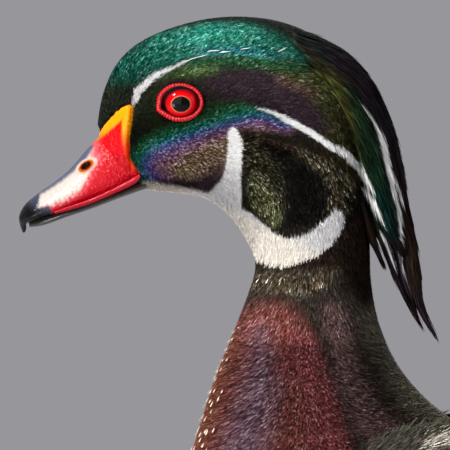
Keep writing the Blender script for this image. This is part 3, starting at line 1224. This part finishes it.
def wing_place(s, r):
    top, middle, low = (edge(s) for edge in wing_edges)
    r = r[..., None]
    return top * (2 * r - 1) * (r - 1) + middle * 4 * r * (1 - r) + low * r * (2 * r - 1)


wing = Surface(wing_place, outward=-1)


def wing_core():
    v, angle = grid((0, 1, 60), (0, TURN, 48))
    thick = lerp(12.5, 3.6, v)
    bulge = np.sign(np.sin(angle)) * np.abs(np.sin(angle)) ** 0.4
    points = wing.raised(v, 0.5 - 0.49 * np.cos(angle), -0.9 - thick / 2 + thick / 2 * bulge)
    return Mesh(points, sheet_faces(*v.shape, closed=True), srgb(24, 26, 28, 0.2))


def edged(base, edge, tip, shaft, tip_from=0.9):
    """Colours of a vane: its slightly uneven base, outer edge, tip and shaft."""
    def colour(number, v, u):
        wave = 1 + 0.12 * np.sin(number * 2.7 + v * 5)[..., None] * np.array([1, 1, 1, 0])
        tint = np.broadcast_to(base, (*v.shape, 4)) * wave
        tint = cover(tint, edge, smooth(0.75, 0.95, u))
        tint = cover(tint, tip, smooth(tip_from, tip_from + 0.06, v + 0.03 * np.abs(u)))
        return cover(tint, shaft, (np.abs(u) < 0.1) * 0.8)
    return colour


WING_ROWS = [
    # count, roots of the first and last feather, their tips, width, rise at root and tip, bow, colours
    (8, (0.62, 0.92), (0.55, 0.4), (1.0, 0.8), (0.88, 0.16), 9, (-2, 0.2), 0.02,
     edged(srgb(46, 48, 50, 0.2), srgb(168, 174, 178, 0.1), srgb(30, 62, 104, 0.6), srgb(28, 24, 20))),
    (9, (0.34, 0.9), (0.42, 0.62), (0.6, 0.93), (0.76, 0.72), 11, (-2, 0.7), 0.02,
     edged(srgb(20, 70, 132, 0.75), srgb(24, 96, 120, 0.7), srgb(226, 228, 228), srgb(16, 16, 18), 0.93)),
    (8, (0.2, 0.86), (0.26, 0.56), (0.44, 0.9), (0.54, 0.62), 13, (-2, 1.3), 0.02,
     edged(srgb(30, 66, 104, 0.65), srgb(36, 84, 96, 0.6), srgb(12, 12, 16, 0.2), srgb(16, 16, 18), 0.85)),
    (10, (0.1, 0.88), (0.14, 0.5), (0.28, 0.88), (0.36, 0.54), 11, (-2, 1.5), 0.02,
     edged(srgb(66, 70, 62, 0.4), srgb(58, 78, 76, 0.4), srgb(40, 44, 44, 0.3), srgb(26, 26, 24))),
    (10, (0.02, 0.86), (0.04, 0.42), (0.17, 0.86), (0.22, 0.44), 10, (-2, 1.4), 0.01,
     edged(srgb(78, 76, 62, 0.35), srgb(64, 74, 66, 0.35), srgb(52, 54, 48, 0.3), srgb(30, 28, 24))),
    (5, (0.44, 0.66), (0.42, 0.26), (0.8, 0.72), (0.88, 0.22), 17, (-2, 2.4), 0.0,
     edged(srgb(20, 28, 48, 0.6), srgb(44, 62, 58, 0.5), srgb(228, 228, 224), srgb(14, 12, 12), 0.94)),
    (5, (0.28, 0.44), (0.24, 0.06), (0.6, 0.5), (0.62, 0.06), 15, (-2, 2.9), 0.0,
     edged(srgb(28, 46, 44, 0.55), srgb(66, 62, 44, 0.5), srgb(18, 24, 34, 0.5), srgb(14, 12, 12))),
    (6, (0.16, 0.42), (0.14, 0.04), (0.42, 0.46), (0.42, 0.05), 14, (-2, 2.6), 0.0,
     edged(srgb(52, 58, 46, 0.5), srgb(72, 70, 50, 0.45), srgb(36, 44, 42, 0.45), srgb(20, 18, 16))),
    (6, (0.02, 0.4), (0.02, 0.05), (0.25, 0.42), (0.25, 0.06), 13, (-2, 1.8), 0.0,
     edged(srgb(62, 62, 50, 0.4), srgb(78, 74, 56, 0.4), srgb(50, 50, 42, 0.4), srgb(24, 22, 18))),
]


def row_of(surface, seed, count, root_a, root_b, tip_a, tip_b, width, rise, bow, colour,
           shape=VANE, rows=12, tilt=0.5):
    """One tier of vanes; each has its own small change of length, place and width."""
    rng = np.random.default_rng(seed)
    roots = rows_between(root_a, root_b, count, -bow)
    tips = rows_between(tip_a, tip_b, count, bow)
    tips = tips + (tips - roots) * (0.03 * rng.standard_normal(count))[:, None]
    wide = width * rng.uniform(0.94, 1.06, count)
    step = 0.04 * np.arange(count)
    return vanes(surface, roots, tips, wide, (rise[0], rise[1] + step), colour, rows, shape, 0.6, tilt)


def wing_vanes():
    return feathers([row_of(wing, 40 + i, *row) for i, row in enumerate(WING_ROWS)])


SHOULDER_WHITE = [(72, -108, 0.6), (77, -106, 1.6), (84, -106, 1.8), (90, -109, 0.8)]


def shoulder_tufts():
    """Small loose feathers over the front of the folded wing, whitish where the shoulder's bar runs out."""
    rng = np.random.default_rng(21)
    span, sides = (0.0, 0.26), (0.0, 0.96)
    s, r = spread(7000, wing, span, sides, lambda s, r: smooth(0.26, 0.12, s + 0.03 * np.sin(9 * r)))
    tips = lie(wing, s, r, rng.uniform(3.5, 6.5, len(s)), 0.25 * rng.standard_normal(len(s)))
    point = wing.at(s, r)
    depth = depth_in(SHOULDER_WHITE, point[:, 1], point[:, 2])
    white = smooth(-1, 1, depth + 1.3 * rng.standard_normal(len(s)))
    tint = cover(mark(62, 60, 50, 0.05, 0.4), mark(186, 178, 166, 0, 0.35), white)
    rise = (0.2, rng.uniform(1.8, 3.0, len(s)))
    wide = rng.uniform(0.5, 1.0, len(s))
    return tufts(wing, np.stack([s, r], 1), tips, wide, rise, varied(tint, rng), (span, sides))


# Flanks

flank = Surface(lambda y, z: body.at(*places_on_side(y, z, 13, LAST)), step=0.3)
GOLD, FLANK_RISE = srgb(206, 168, 104), (0.5, 5.6)


def flank_colour(number, v, u):
    """Golden feathers; alpha carries the fine dark barring."""
    tint = np.broadcast_to(GOLD, (*v.shape, 4)).copy()
    tint[..., 3] = smooth(0.98, 0.8, v) * 0.9
    return cover(tint, srgb(206, 170, 110), smooth(0.85, 0.99, v))


CRESCENT_BLACK = srgb(12, 10, 10)


def crescent_colour(number, v, u):
    """The upper row: golden, then black, white and black at the tip."""
    tint = flank_colour(number, v, u)
    edge = v + 0.1 * u**2
    for at, colour in ((0.7, CRESCENT_BLACK), (0.78, srgb(240, 240, 236)), (0.93, CRESCENT_BLACK)):
        tint = cover(tint, colour, smooth(at - 0.015, at + 0.015, edge))
    return tint


FLANK_ROWS = [
    # count, roots of the first and last feather, their tips, width, lift, colours
    (8, (62, -198), (150, -204), (88, -206), (184, -192), 20, 0.0, flank_colour),
    (8, (54, -188), (140, -196), (82, -198), (180, -186), 20, 0.4, flank_colour),
    (8, (46, -178), (132, -188), (74, -188), (172, -182), 20, 0.8, flank_colour),
    (8, (42, -168), (126, -180), (68, -177), (166, -178), 19, 1.2, flank_colour),
    (9, (42, -158), (140, -178), (66, -165), (184, -176), 15, 1.6, crescent_colour),
]


def flank_vanes():
    parts = []
    for seed, (*places, width, lift, colour) in enumerate(FLANK_ROWS, 70):
        rise = (FLANK_RISE[0], FLANK_RISE[1] + 0.3 * lift)
        parts.append(row_of(flank, seed, *places, width, rise, 0.0, colour, ROUND, 16, 0.8))
    return feathers(parts)


FLANK_BARS = 2.1
FLANK_FIELD = [
    (50, -164, 4), (62, -176, 9), (84, -189, 14.5), (110, -192, 14.5), (150, -190, 11), (178, -187, 5),
]


def flank_tufts():
    """Loose barbs over the golden feathers, with the same wavy dark bars."""
    rng = np.random.default_rng(23)
    reach, level = (44, 186), (-208, -158)
    y, z = spread(11000, flank, reach, level, lambda y, z: smooth(-2, 2, depth_in(FLANK_FIELD, y, z)))
    roots, long = np.stack([y, z], 1), rng.uniform(4, 7, len(y))[:, None]
    way = unit(np.stack([np.ones(len(y)), -0.22 + 0.16 * rng.standard_normal(len(y))], 1))
    bar = np.sin((y + 0.4 * z + 1.6 * ripples(roots, 7, 8)) * TURN / FLANK_BARS)
    tint = cover(mark(210, 170, 104, 0, 0.16), mark(112, 84, 50, 0, 0.2), smooth(0.55, 0.95, bar))
    rise = (4.6, rng.uniform(6.0, 6.9, len(y)))
    wide = rng.uniform(0.6, 1.1, len(y))
    return tufts(flank, roots, roots + long * way, wide, rise, varied(tint, rng), (reach, level))


# Tail and rump

TAIL = dict(count=14, root=240, tip=318.5, root_half=9, tip_half=26.5, square=10, level=-158, roof=6, droop=3)


def tail_place(u, w):
    y = lerp(TAIL["root"], TAIL["tip"] - TAIL["square"] * w**2, u)
    z = TAIL["level"] - TAIL["roof"] * np.abs(w) - TAIL["droop"] * u
    return np.stack([w * lerp(TAIL["root_half"], TAIL["tip_half"], u), y, z], -1)


tail = Surface(tail_place)
tail_colour = edged(
    srgb(20, 34, 30, 0.5), srgb(26, 48, 42, 0.5), srgb(34, 34, 28, 0.3), srgb(16, 12, 10), 0.96)

UPPERTAIL = [
    [214, -142.5, 214, -147, 6],
    [229, -145.6, 229, -152, 12],
    [246, -149.4, 246, -156, 15],
    [263, -152.6, 263, -158, 16.5],
    [281, -155.3, 281, -158.5, 15],
    [294, -156.8, 294, -158.4, 10],
]
UNDERTAIL = [
    [190, -197, 194, -186, 11],
    [214, -185.5, 216, -172, 17],
    [240, -178.5, 240, -168, 18],
    [263, -175, 263, -168.5, 16],
    [286, -172, 286, -169.5, 10],
]
upper_covert = Surface(profile_surface(UPPERTAIL, 0.0), outward=-1)
under_covert = Surface(profile_surface(UNDERTAIL, 0.0), outward=-1)


def tail_vanes():
    share = np.linspace(-1, 1, TAIL["count"])
    roots, tips = np.stack([0 * share, share], 1), np.stack([0 * share + 1, share], 1)
    sunk = -np.abs(0.16 * (share * (TAIL["count"] - 1) / 2))
    tilt = 0.25 * np.sign(share)
    return vanes(tail, roots, tips, 12.5, (sunk, sunk), tail_colour, 18, VANE, 0.3, tilt)


COVERT_STARTS, COVERT_SPREAD, COVERT_REACH = (0.5, 0.34, 0.18, 0.04), 72 * DEG, 0.4


def covert_rows(surface, seed, width, colour):
    """Overlapping rows of coverts round a form, from its tip to its root."""
    parts = []
    for i, start in enumerate(COVERT_STARTS):
        end = start + COVERT_REACH
        places = [(at, side) for at in (start, end) for side in (-COVERT_SPREAD, COVERT_SPREAD)]
        rise = (-1.5, 0.6 + 0.35 * i)
        parts.append(row_of(surface, seed + i, 9 - i % 2, *places, width, rise, 0.04, colour, ROUND, 12, 0.3))
    return feathers(parts)


PLUME = np.array([
    [25, 196, -173, 2.4, 5],
    [24.5, 214, -175, 1.8, 5],
    [23.5, 232, -179, 1.5, 4],
    [22.5, 248, -185, 1.2, 3],
    [22, 260, -192, 0.6, 0.8],
])


def plume_strands():
    """Loose hair-like plumes that droop beside the tail."""
    line = spline(PLUME[:, :3])
    fan = Surface(lambda u, w: line(u) + np.stack([0.1 * w, 0 * w, w], -1))
    rng = np.random.default_rng(9)
    count = 900
    u, w = rng.uniform(0, 0.45, count), rng.uniform(-4.5, 4.5, count)
    roots = np.stack([u, w], 1)
    tips = np.stack([np.minimum(u + rng.uniform(0.35, 0.6, count), 1), w * rng.uniform(0.6, 1.9, count)], 1)
    rusty, maroon = srgb(150, 78, 34), srgb(84, 26, 34, 0.2)
    base = cover(maroon, rusty, smooth(0.15, 0.4, u + 0.05 * rng.standard_normal(count)))
    tint = varied(np.append(base, np.full((count, 1), 0.35), 1), rng)
    rise = (rng.uniform(-1.4, 1.4, count), rng.uniform(-1.4, 1.4, count))
    return tufts(fan, roots, tips, 0.55, rise, tint, ((0, 1), (-10, 10)), 7, LOCK, 0.2)


# Legs, left side, in the same places as the solids: joints [x, y, z, half width, half depth]

FLOOR = -float(ORIGIN[2]) / MM
FOOT_JOINT = np.array([27, 116, 7 + FLOOR])
ANKLE = np.array([25.5, 130, 44 + FLOOR])
HIP = np.array([23, 102, 92 + FLOOR])
THIGH = [
    [*HIP, 13, 17],
    [24.2, 117, 66 + FLOOR, 9.5, 12],
    [ANKLE[0], ANKLE[1] - 1, ANKLE[2] + 4, 4.6, 5.2],
]
SHANK = [
    [ANKLE[0], ANKLE[1], ANKLE[2] + 5, 3.4, 4.2],
    [ANKLE[0] + 0.2, ANKLE[1] - 1.5, ANKLE[2] - 3, 3.2, 4.4],
    [26.3, 123, 24 + FLOOR, 2.3, 3.2],
    [FOOT_JOINT[0], FOOT_JOINT[1] + 2, FOOT_JOINT[2] + 3, 2.6, 3.6],
]
# Toes: length, direction in degrees, half width; and how many knuckles
TOES = {"inner": ((36, -27, 2.5), 2), "middle": ((47, -2, 2.8), 3), "outer": ((43, 22, 2.6), 4)}
CLAW_LENGTH, SOLE_CUT = 6.5, 0.4
STRAW, DUSKY = srgb(166, 132, 70), srgb(58, 52, 42)


def toe_joints(length, degrees, half):
    angle = degrees * DEG

    def at(share, rise, width):
        x = FOOT_JOINT[0] + math.sin(angle) * length * share
        y = FOOT_JOINT[1] - math.cos(angle) * length * share
        return [x, y, FLOOR + width * 0.9 - SOLE_CUT + rise, width, width * 0.9]

    return [at(-0.03, 2.4, half * 1.3), at(0.3, 0, half), at(0.66, 0, half * 0.85), at(1, 0, half * 0.7)]


HIND_TOE = [
    [FOOT_JOINT[0] - 1, FOOT_JOINT[1] + 1, FLOOR + 6, 2.6, 2.4],
    [FOOT_JOINT[0] - 2, FOOT_JOINT[1] + 6, FLOOR + 4.2, 2.0, 1.9],
    [FOOT_JOINT[0] - 3, FOOT_JOINT[1] + 11, FLOOR + 3.4, 1.5, 1.5],
]


def limb(joints, around, along, knuckles=0):
    """A closed limb through joints, with a swelling at each knuckle."""
    joints = np.array(joints, float)
    line, size = spline(joints[:, :3]), spline(joints[:, 3:])
    v = np.linspace(0, 1, 40)
    swell = 1 + 0.16 * np.maximum(0, np.cos(TURN * v * knuckles)) ** 4 if knuckles else np.ones(40)
    return tube(line(v), size(v) * swell[:, None], around, along, NO_TINT)


WEB_ROWS, WEB_COLUMNS = 40, 24
WEB_NOTCHES = {("inner", "middle"): 13, ("middle", "outer"): 9}  # how far the front edge is cut in


def web_rim():
    """The points round a web's edge, in order."""
    last = WEB_ROWS - 1
    return np.concatenate([
        np.arange(WEB_COLUMNS),
        np.arange(1, WEB_ROWS) * WEB_COLUMNS + WEB_COLUMNS - 1,
        last * WEB_COLUMNS + np.arange(WEB_COLUMNS - 2, -1, -1),
        np.arange(last - 1, 0, -1) * WEB_COLUMNS,
    ])


def webs():
    """The webs between the three front toes, sagging a little between them and scalloped in front."""
    tips = {name: np.array(toe_joints(*sizes)[3][:2]) for name, (sizes, _) in TOES.items()}
    along, across = grid((0, 1, WEB_ROWS), (0, 1, WEB_COLUMNS), closed=False)
    hollow = np.sin(math.pi * across)
    ripple = 0.12 * np.sin(along * 40 + 6 * across) * hollow
    level = FLOOR + 1.0 + 0.25 * (1 - hollow) + ripple + 0.45
    start = FOOT_JOINT[:2] + [0, 1]
    faces, count, rim = sheet_faces(*along.shape), along.size, web_rim()
    after = np.roll(rim, -1)
    wall = np.concatenate([
        np.stack([rim, after, after + count], 1), np.stack([rim, after + count, rim + count], 1)])
    parts = []
    for (a, b), notch in WEB_NOTCHES.items():
        edge = lerp(tips[a], tips[b], across[..., None])
        place = lerp(start, edge, (along * (1 - hollow * notch / TOES["middle"][0][0]))[..., None])
        sheets = [np.concatenate([place, height[..., None]], -1).reshape(-1, 3)
                  for height in (level, np.full_like(level, FLOOR + 0.02))]
        all_faces = np.concatenate([faces, faces[:, ::-1] + count, wall[:, ::-1]])
        parts.append(Mesh(np.concatenate(sheets), all_faces, NO_TINT))
    return parts


def foot():
    toes = [limb(toe_joints(*sizes), 20, 60, knuckles) for sizes, knuckles in TOES.values()]
    made = fused([*toes, limb(HIND_TOE, 16, 30, 1), *webs(), limb(SHANK, 20, 60)], 0.45, 3)
    made.points[:, 2] = np.maximum(made.points[:, 2], FLOOR)
    x, y, z = made.points.T
    lines = [[(j[0], j[1], j[3] * 0.9) for j in toe_joints(*sizes)] for sizes, _ in TOES.values()]
    on_toe = smooth(-1.2, 0.4, np.max([depth_in(line, x, y) for line in lines], 0))
    on_toe = on_toe + smooth(FLOOR + 3, FLOOR + 6, z)
    joint = 0.5 + 0.5 * np.sin(np.hypot(x - FOOT_JOINT[0], y - FOOT_JOINT[1]) * TURN / 11)
    straw = cover(STRAW, srgb(120, 94, 52), joint * smooth(FLOOR + 7, FLOOR + 3, z) * 0.8)
    made.tint = cover(DUSKY, straw, np.clip(on_toe, 0, 1))
    return made


CLAW_HEIGHTS, CLAW_SIZES = (2.2, 2.3, 0.7), [[1.25, 1.35], [1.0, 1.15], [0.16, 0.16]]


def claw(joints):
    before, end = np.array(joints, float)[-2:, :3]
    ahead = unit(end - before) * [1, 1, 0]
    path = [end - ahead * 2, end + ahead * CLAW_LENGTH * 0.35, end + ahead * CLAW_LENGTH]
    for point, height in zip(path, CLAW_HEIGHTS):
        point[2] = FLOOR + height
    colour = lambda v, angle: cover(srgb(70, 58, 44), srgb(22, 18, 16), smooth(0.1, 0.5, v))
    return tube(path, CLAW_SIZES, 16, 24, colour)


def claws():
    return joined([claw(toe_joints(*sizes)) for sizes, _ in TOES.values()] + [claw(HIND_TOE)])


thigh_line, thigh_size = spline(np.array(THIGH)[:, :3]), spline(np.array(THIGH)[:, 3:])


def thigh_place(v, angle):
    tangent = unit(thigh_line(v + 0.01) - thigh_line(v - 0.01))
    side = unit(np.array([1.0, 0, 0]) - tangent * tangent[..., :1])
    size = thigh_size(v)
    return thigh_line(v) + side * (size[..., :1] * np.sin(angle)[..., None]) \
        + np.cross(side, tangent) * (size[..., 1:] * np.cos(angle)[..., None])


thigh = Surface(thigh_place, outward=-1)


def thigh_skin():
    v, angle = grid((0, 1, 40), (0, TURN, 40))
    return Mesh(thigh.raised(v, angle, -1.0), sheet_faces(*v.shape, closed=True), srgb(120, 108, 92))


def thigh_tufts():
    rng = np.random.default_rng(31)
    spans = ((0.05, 0.97), SIDES)
    v, angle = spread(5200, thigh, *spans)
    pale = cover(mark(168, 150, 122, 0, 0.25), mark(206, 198, 182, 0, 0.2), smooth(-1, 1, np.cos(angle)))
    tips = lie(thigh, v, angle, rng.uniform(3.5, 5.5, len(v)), 0.25 * rng.standard_normal(len(v)))
    tips[:, 0] = np.minimum(tips[:, 0], 1.04)
    rise = (-1.1, rng.uniform(-0.1, 0.7, len(v)))
    return tufts(thigh, np.stack([v, angle], 1), tips, 0.8, rise, varied(pale, rng), spans, 3, TUFT)


# Putting the bird together

def both(name, made, material, nodes):
    """The left piece and its mirror image, each standing for its side's nodes."""
    left = piece(f"{name}_left", made, material, [f"{node}_left" for node in nodes])
    right = piece(f"{name}_right", made.mirrored(), material, [f"{node}_right" for node in nodes])
    return left, right


feather_coat = coat_material("feather_coat", 0.42, 3.6)
soft_coat = coat_material("soft_coat", 0.6, 1.2)
crest_coat = coat_material("crest_strands", 0.58, 1.8)
skin_look = skin_material("feathered_skin", 0.7, 1800, 0.0003)
vane_look = vane_material("vanes", 0.42, 0.55, 1.5)
tail_look = vane_material("tail_vanes", 0.45, 0.7, 1.2)
eye_look = skin_material("wet_eye", 0.06, 6000, 0.00001, 0.94, 1.05, Specular_IOR_Level=0.1,
                         Coat_Weight=0.06, Coat_Roughness=0.02)
lid_look = skin_material("lid_skin", 0.28, 2600, 0.0001, 0.85, 1.15, Specular_IOR_Level=0.35)
bill_look = skin_material("bill_skin", 0.2, 900, 0.00035, 0.86, 1.12, Specular_IOR_Level=0.12,
                          Coat_Weight=0.06, Coat_Roughness=0.08)
horn_look = skin_material("bill_horn", 0.38, 1400, 0.00012, 0.8, 1.2)
leg_look = skin_material("leg_skin", 0.5, 1300, 0.0003, 0.72, 1.2)
claw_look = skin_material("claw_horn", 0.3, 2200, 0.0001)


def flank_material():
    """Golden feathers with fine wavy dark bars across them."""
    nodes = Nodes("flank_vanes", 0.6, Specular_IOR_Level=0.3)
    place = nodes.add("ShaderNodeUVMap", uv_map="Barbs").outputs[0]
    axes = nodes.add("ShaderNodeSeparateXYZ", {0: place})
    wobble = nodes.math("MULTIPLY", nodes.noise(420, 3), 1.9)
    wave = nodes.math("SINE", nodes.math("MULTIPLY", nodes.math("ADD", axes.outputs[1], wobble), TURN / 0.95))
    bars = nodes.add("ShaderNodeMapRange", {"Value": wave, "From Min": 0.35, "From Max": 0.9}).outputs[0]
    dark = nodes.math("MULTIPLY", nodes.math("MULTIPLY", bars, nodes.tint("Alpha")), 0.7)
    brown = (*srgb(30, 22, 16)[:3], 1)
    mixed = nodes.add("ShaderNodeMix", {0: dark, 6: nodes.tint(), 7: brown}, data_type="RGBA")
    nodes.colour(nodes.barbs(0.5, 1.3), 0.88, 1.08, mixed.outputs[2])
    nodes.bump(wave, 0.00006, 0.4)
    return nodes.material


piece("skin", joined([body_skin(), thigh_skin(), thigh_skin().mirrored()]), skin_look,
      ["head", "neck", "torso", "thigh_left", "thigh_right"])


def on_head(t, a):
    """Not under the bill's skin, the eye or its ring."""
    point = body.at(t, a)
    y, z = point[:, 1], point[:, 2]
    return (outline_depth(LAPPET, y, z) < -0.1) & ((y > 12) | (y < -12) | clear_of_lids(y, z, 0.35))


crown = lambda t, a: smooth(1.35, 1.0, a)
fan = lambda t, a: -0.55 * smooth(3.2, 5, t) * smooth(8, 6.5, t) * smooth(1.9, 1.3, a) * smooth(0.3, 0.7, a)
back = lambda t: smooth(1, 5, t)
face_length = lambda t, a: lerp(lerp(0.75, 1.1, back(t)), lerp(1.8, 4.2, back(t)), crown(t, a))
face_width = lambda t, a: lerp(0.3, 0.25, crown(t, a))
head_length = lambda t, a: lerp(1.1, 4.2, crown(t, a))
head_width = lambda t, a: lerp(0.23, 0.27, crown(t, a))
neck_length = lambda t, a: lerp(1.4, 2.4, smooth(12.5, 17, t))
head_lie = dict(turn=0.16, sweep=fan, grain=0.4)
COATS = [
    # name, slot, seed, count, stations, length, width, lift, rough, and how they lie
    ("face", "head", 1, 96000, (0.05, 4.2), face_length, face_width, 0.14, 0.32,
     dict(keep=on_head, turn=0.18, sweep=fan, grain=0.4)),
    ("head", "head", 6, 84000, (4.0, 6.2), head_length, head_width, 0.16, 0.2, head_lie),
    ("hindhead", "head", 9, 76000, (6.0, 8.4), head_length, head_width, 0.16, 0.2, head_lie),
    ("nape", "head", 2, 66000, (8.2, 13), 2.4, 0.34, 0.25, 0.25, dict(turn=0.14, grain=0.45)),
    ("neck", "neck", 3, 80000, (12.8, 14.9), neck_length, 0.34, 0.2, 0.3, dict(grain=0.45)),
    ("throat", "neck", 8, 82000, (14.7, 16.4), neck_length, 0.38, 0.22, 0.3, dict(grain=0.5)),
    ("breast", "body", 4, 76000, (16.2, 20.5), 6, 0.85, 0.45, 0.35, {}),
    ("body", "body", 5, 48000, (20.2, 26), 7, 1.1, 0.5, 0.35, {}),
]
for name, slot, *sizes, lying in COATS:
    look = soft_coat if name == "body" else feather_coat
    piece(f"coat_{name}", body_tufts(*sizes, **lying), look)
piece("brow_hairs", brow_hairs(), feather_coat)
piece("breast_spots", breast_spots(), soft_coat)
both("coat_thigh", thigh_tufts(), soft_coat, [])

both("eyeball", eyeball(), eye_look, ["eye"])
both("eyelids", lid_ring(), lid_look, ["eyelid"])
both("eye_socket", socket(), soft_coat, [])

piece("upper_bill", upper_bill(), bill_look, ["bill_upper", "bill_nail"])
piece("lower_bill", lower_bill(), horn_look, ["bill_lower"])
both("gape_lip", gape_lip(), bill_look, [])

piece("crest_core", crest_core(), skin_look, ["crest"])
piece("crest_locks", crest_locks(), crest_coat)

both("wing_bed", wing_core(), skin_look, ["wing"])
both("wing_vanes", wing_vanes(), vane_look, [])
both("shoulder_tufts", shoulder_tufts(), soft_coat, [])
both("flank_tufts", flank_tufts(), soft_coat, [])
both("flank_vanes", flank_vanes(), flank_material(), ["flank"])

piece("tail_vanes", feathers([tail_vanes()]), tail_look, ["tail"])
upper_colour = edged(srgb(16, 40, 36, 0.5), srgb(20, 52, 44, 0.5), srgb(24, 44, 40, 0.4), srgb(12, 10, 8))
piece("uppertail_vanes", covert_rows(upper_covert, 80, 8, upper_colour), tail_look,
      ["uppertail_coverts"])
under_colour = edged(srgb(50, 36, 28), srgb(58, 44, 34), srgb(40, 30, 24), srgb(24, 18, 14))
under_turned = Surface(lambda v, angle: under_covert.at(v, angle + math.pi), outward=-1)
piece("undertail_vanes", covert_rows(under_turned, 90, 9, under_colour), tail_look,
      ["undertail_coverts"])
both("plume_strands", plume_strands(), soft_coat, ["rump_plumes"])

both("leg", foot(), leg_look, ["shank", "foot"])
both("claws", claws(), claw_look, ["claw_inner", "claw_middle", "claw_outer", "claw_hind"])

# Floor, light and camera

PIXEL = 0.315 * MM  # what one pixel of the photo spans at the bird
FRAME_PIXELS = 450
FRAME_CENTRE = (13.9, -38.7)  # y and z from the eye at the middle of the photo
CAMERA_AWAY, CAMERA_RISE = 2.5, 1.5 * DEG


def floor():
    data = bpy.data.meshes.new("floor")
    data.from_pydata([(x, y, 0) for x, y in ((-3, -3), (3, -3), (3, 3), (-3, 3))], [], [(0, 1, 2, 3)])
    nodes = Nodes("floor_paper", 0.85)
    grain = nodes.noise(60, 2)
    paper = nodes.add("ShaderNodeCombineXYZ", {0: 0.62, 1: 0.61, 2: 0.63}).outputs[0]
    nodes.colour(grain, 0.97, 1.02, paper)
    data.materials.append(nodes.material)
    made = bpy.data.objects.new("floor", data)
    bpy.context.collection.objects.link(made)


def lamp(name, reach, size, power, colour):
    """A square softbox that faces the head from reach metres away."""
    data = bpy.data.lights.new(name, "AREA")
    data.shape, data.size, data.energy, data.color = "SQUARE", size, power, colour
    made = bpy.data.objects.new(name, data)
    bpy.context.collection.objects.link(made)
    aim_at(made, ORIGIN + reach, ORIGIN)


def aim_at(made, place, target):
    made.location = place
    away = made.location - type(made.location)(target)
    made.rotation_euler = away.to_track_quat("Z", "Y").to_euler()


def sky():
    world = bpy.data.worlds.new("studio")
    world.use_nodes = True
    background = world.node_tree.nodes["Background"]
    background.inputs["Color"].default_value = (0.31, 0.305, 0.325, 1)
    background.inputs["Strength"].default_value = 1.0
    bpy.context.scene.world = world
    bpy.context.scene.view_settings.view_transform = "Standard"


def camera():
    data = bpy.data.cameras.new("camera")
    data.sensor_width = 36
    data.lens = data.sensor_width * CAMERA_AWAY / (FRAME_PIXELS * PIXEL)
    data.clip_end = 100
    made = bpy.data.objects.new("camera", data)
    bpy.context.collection.objects.link(made)
    target = ORIGIN + np.array([0, *FRAME_CENTRE]) * MM
    reach = np.array([math.cos(CAMERA_RISE), 0, math.sin(CAMERA_RISE)]) * CAMERA_AWAY
    aim_at(made, target + reach, target)
    bpy.context.scene.camera = made


floor()
sky()
lamp("key", [0.62, -0.8, 1.05], 0.32, 30, (1, 0.98, 0.95))
lamp("fill", [1.75, -0.7, 0.5], 1.6, 17, (0.97, 0.98, 1))
lamp("rear", [0.7, 1.5, 0.5], 1.2, 5, (0.96, 0.97, 1))
lamp("low", [0.6, -0.5, -0.2], 0.22, 2.5, (1, 0.98, 0.95))
lamp("far", [-1.3, 0.1, 0.9], 0.9, 6, (1, 1, 1))
camera()
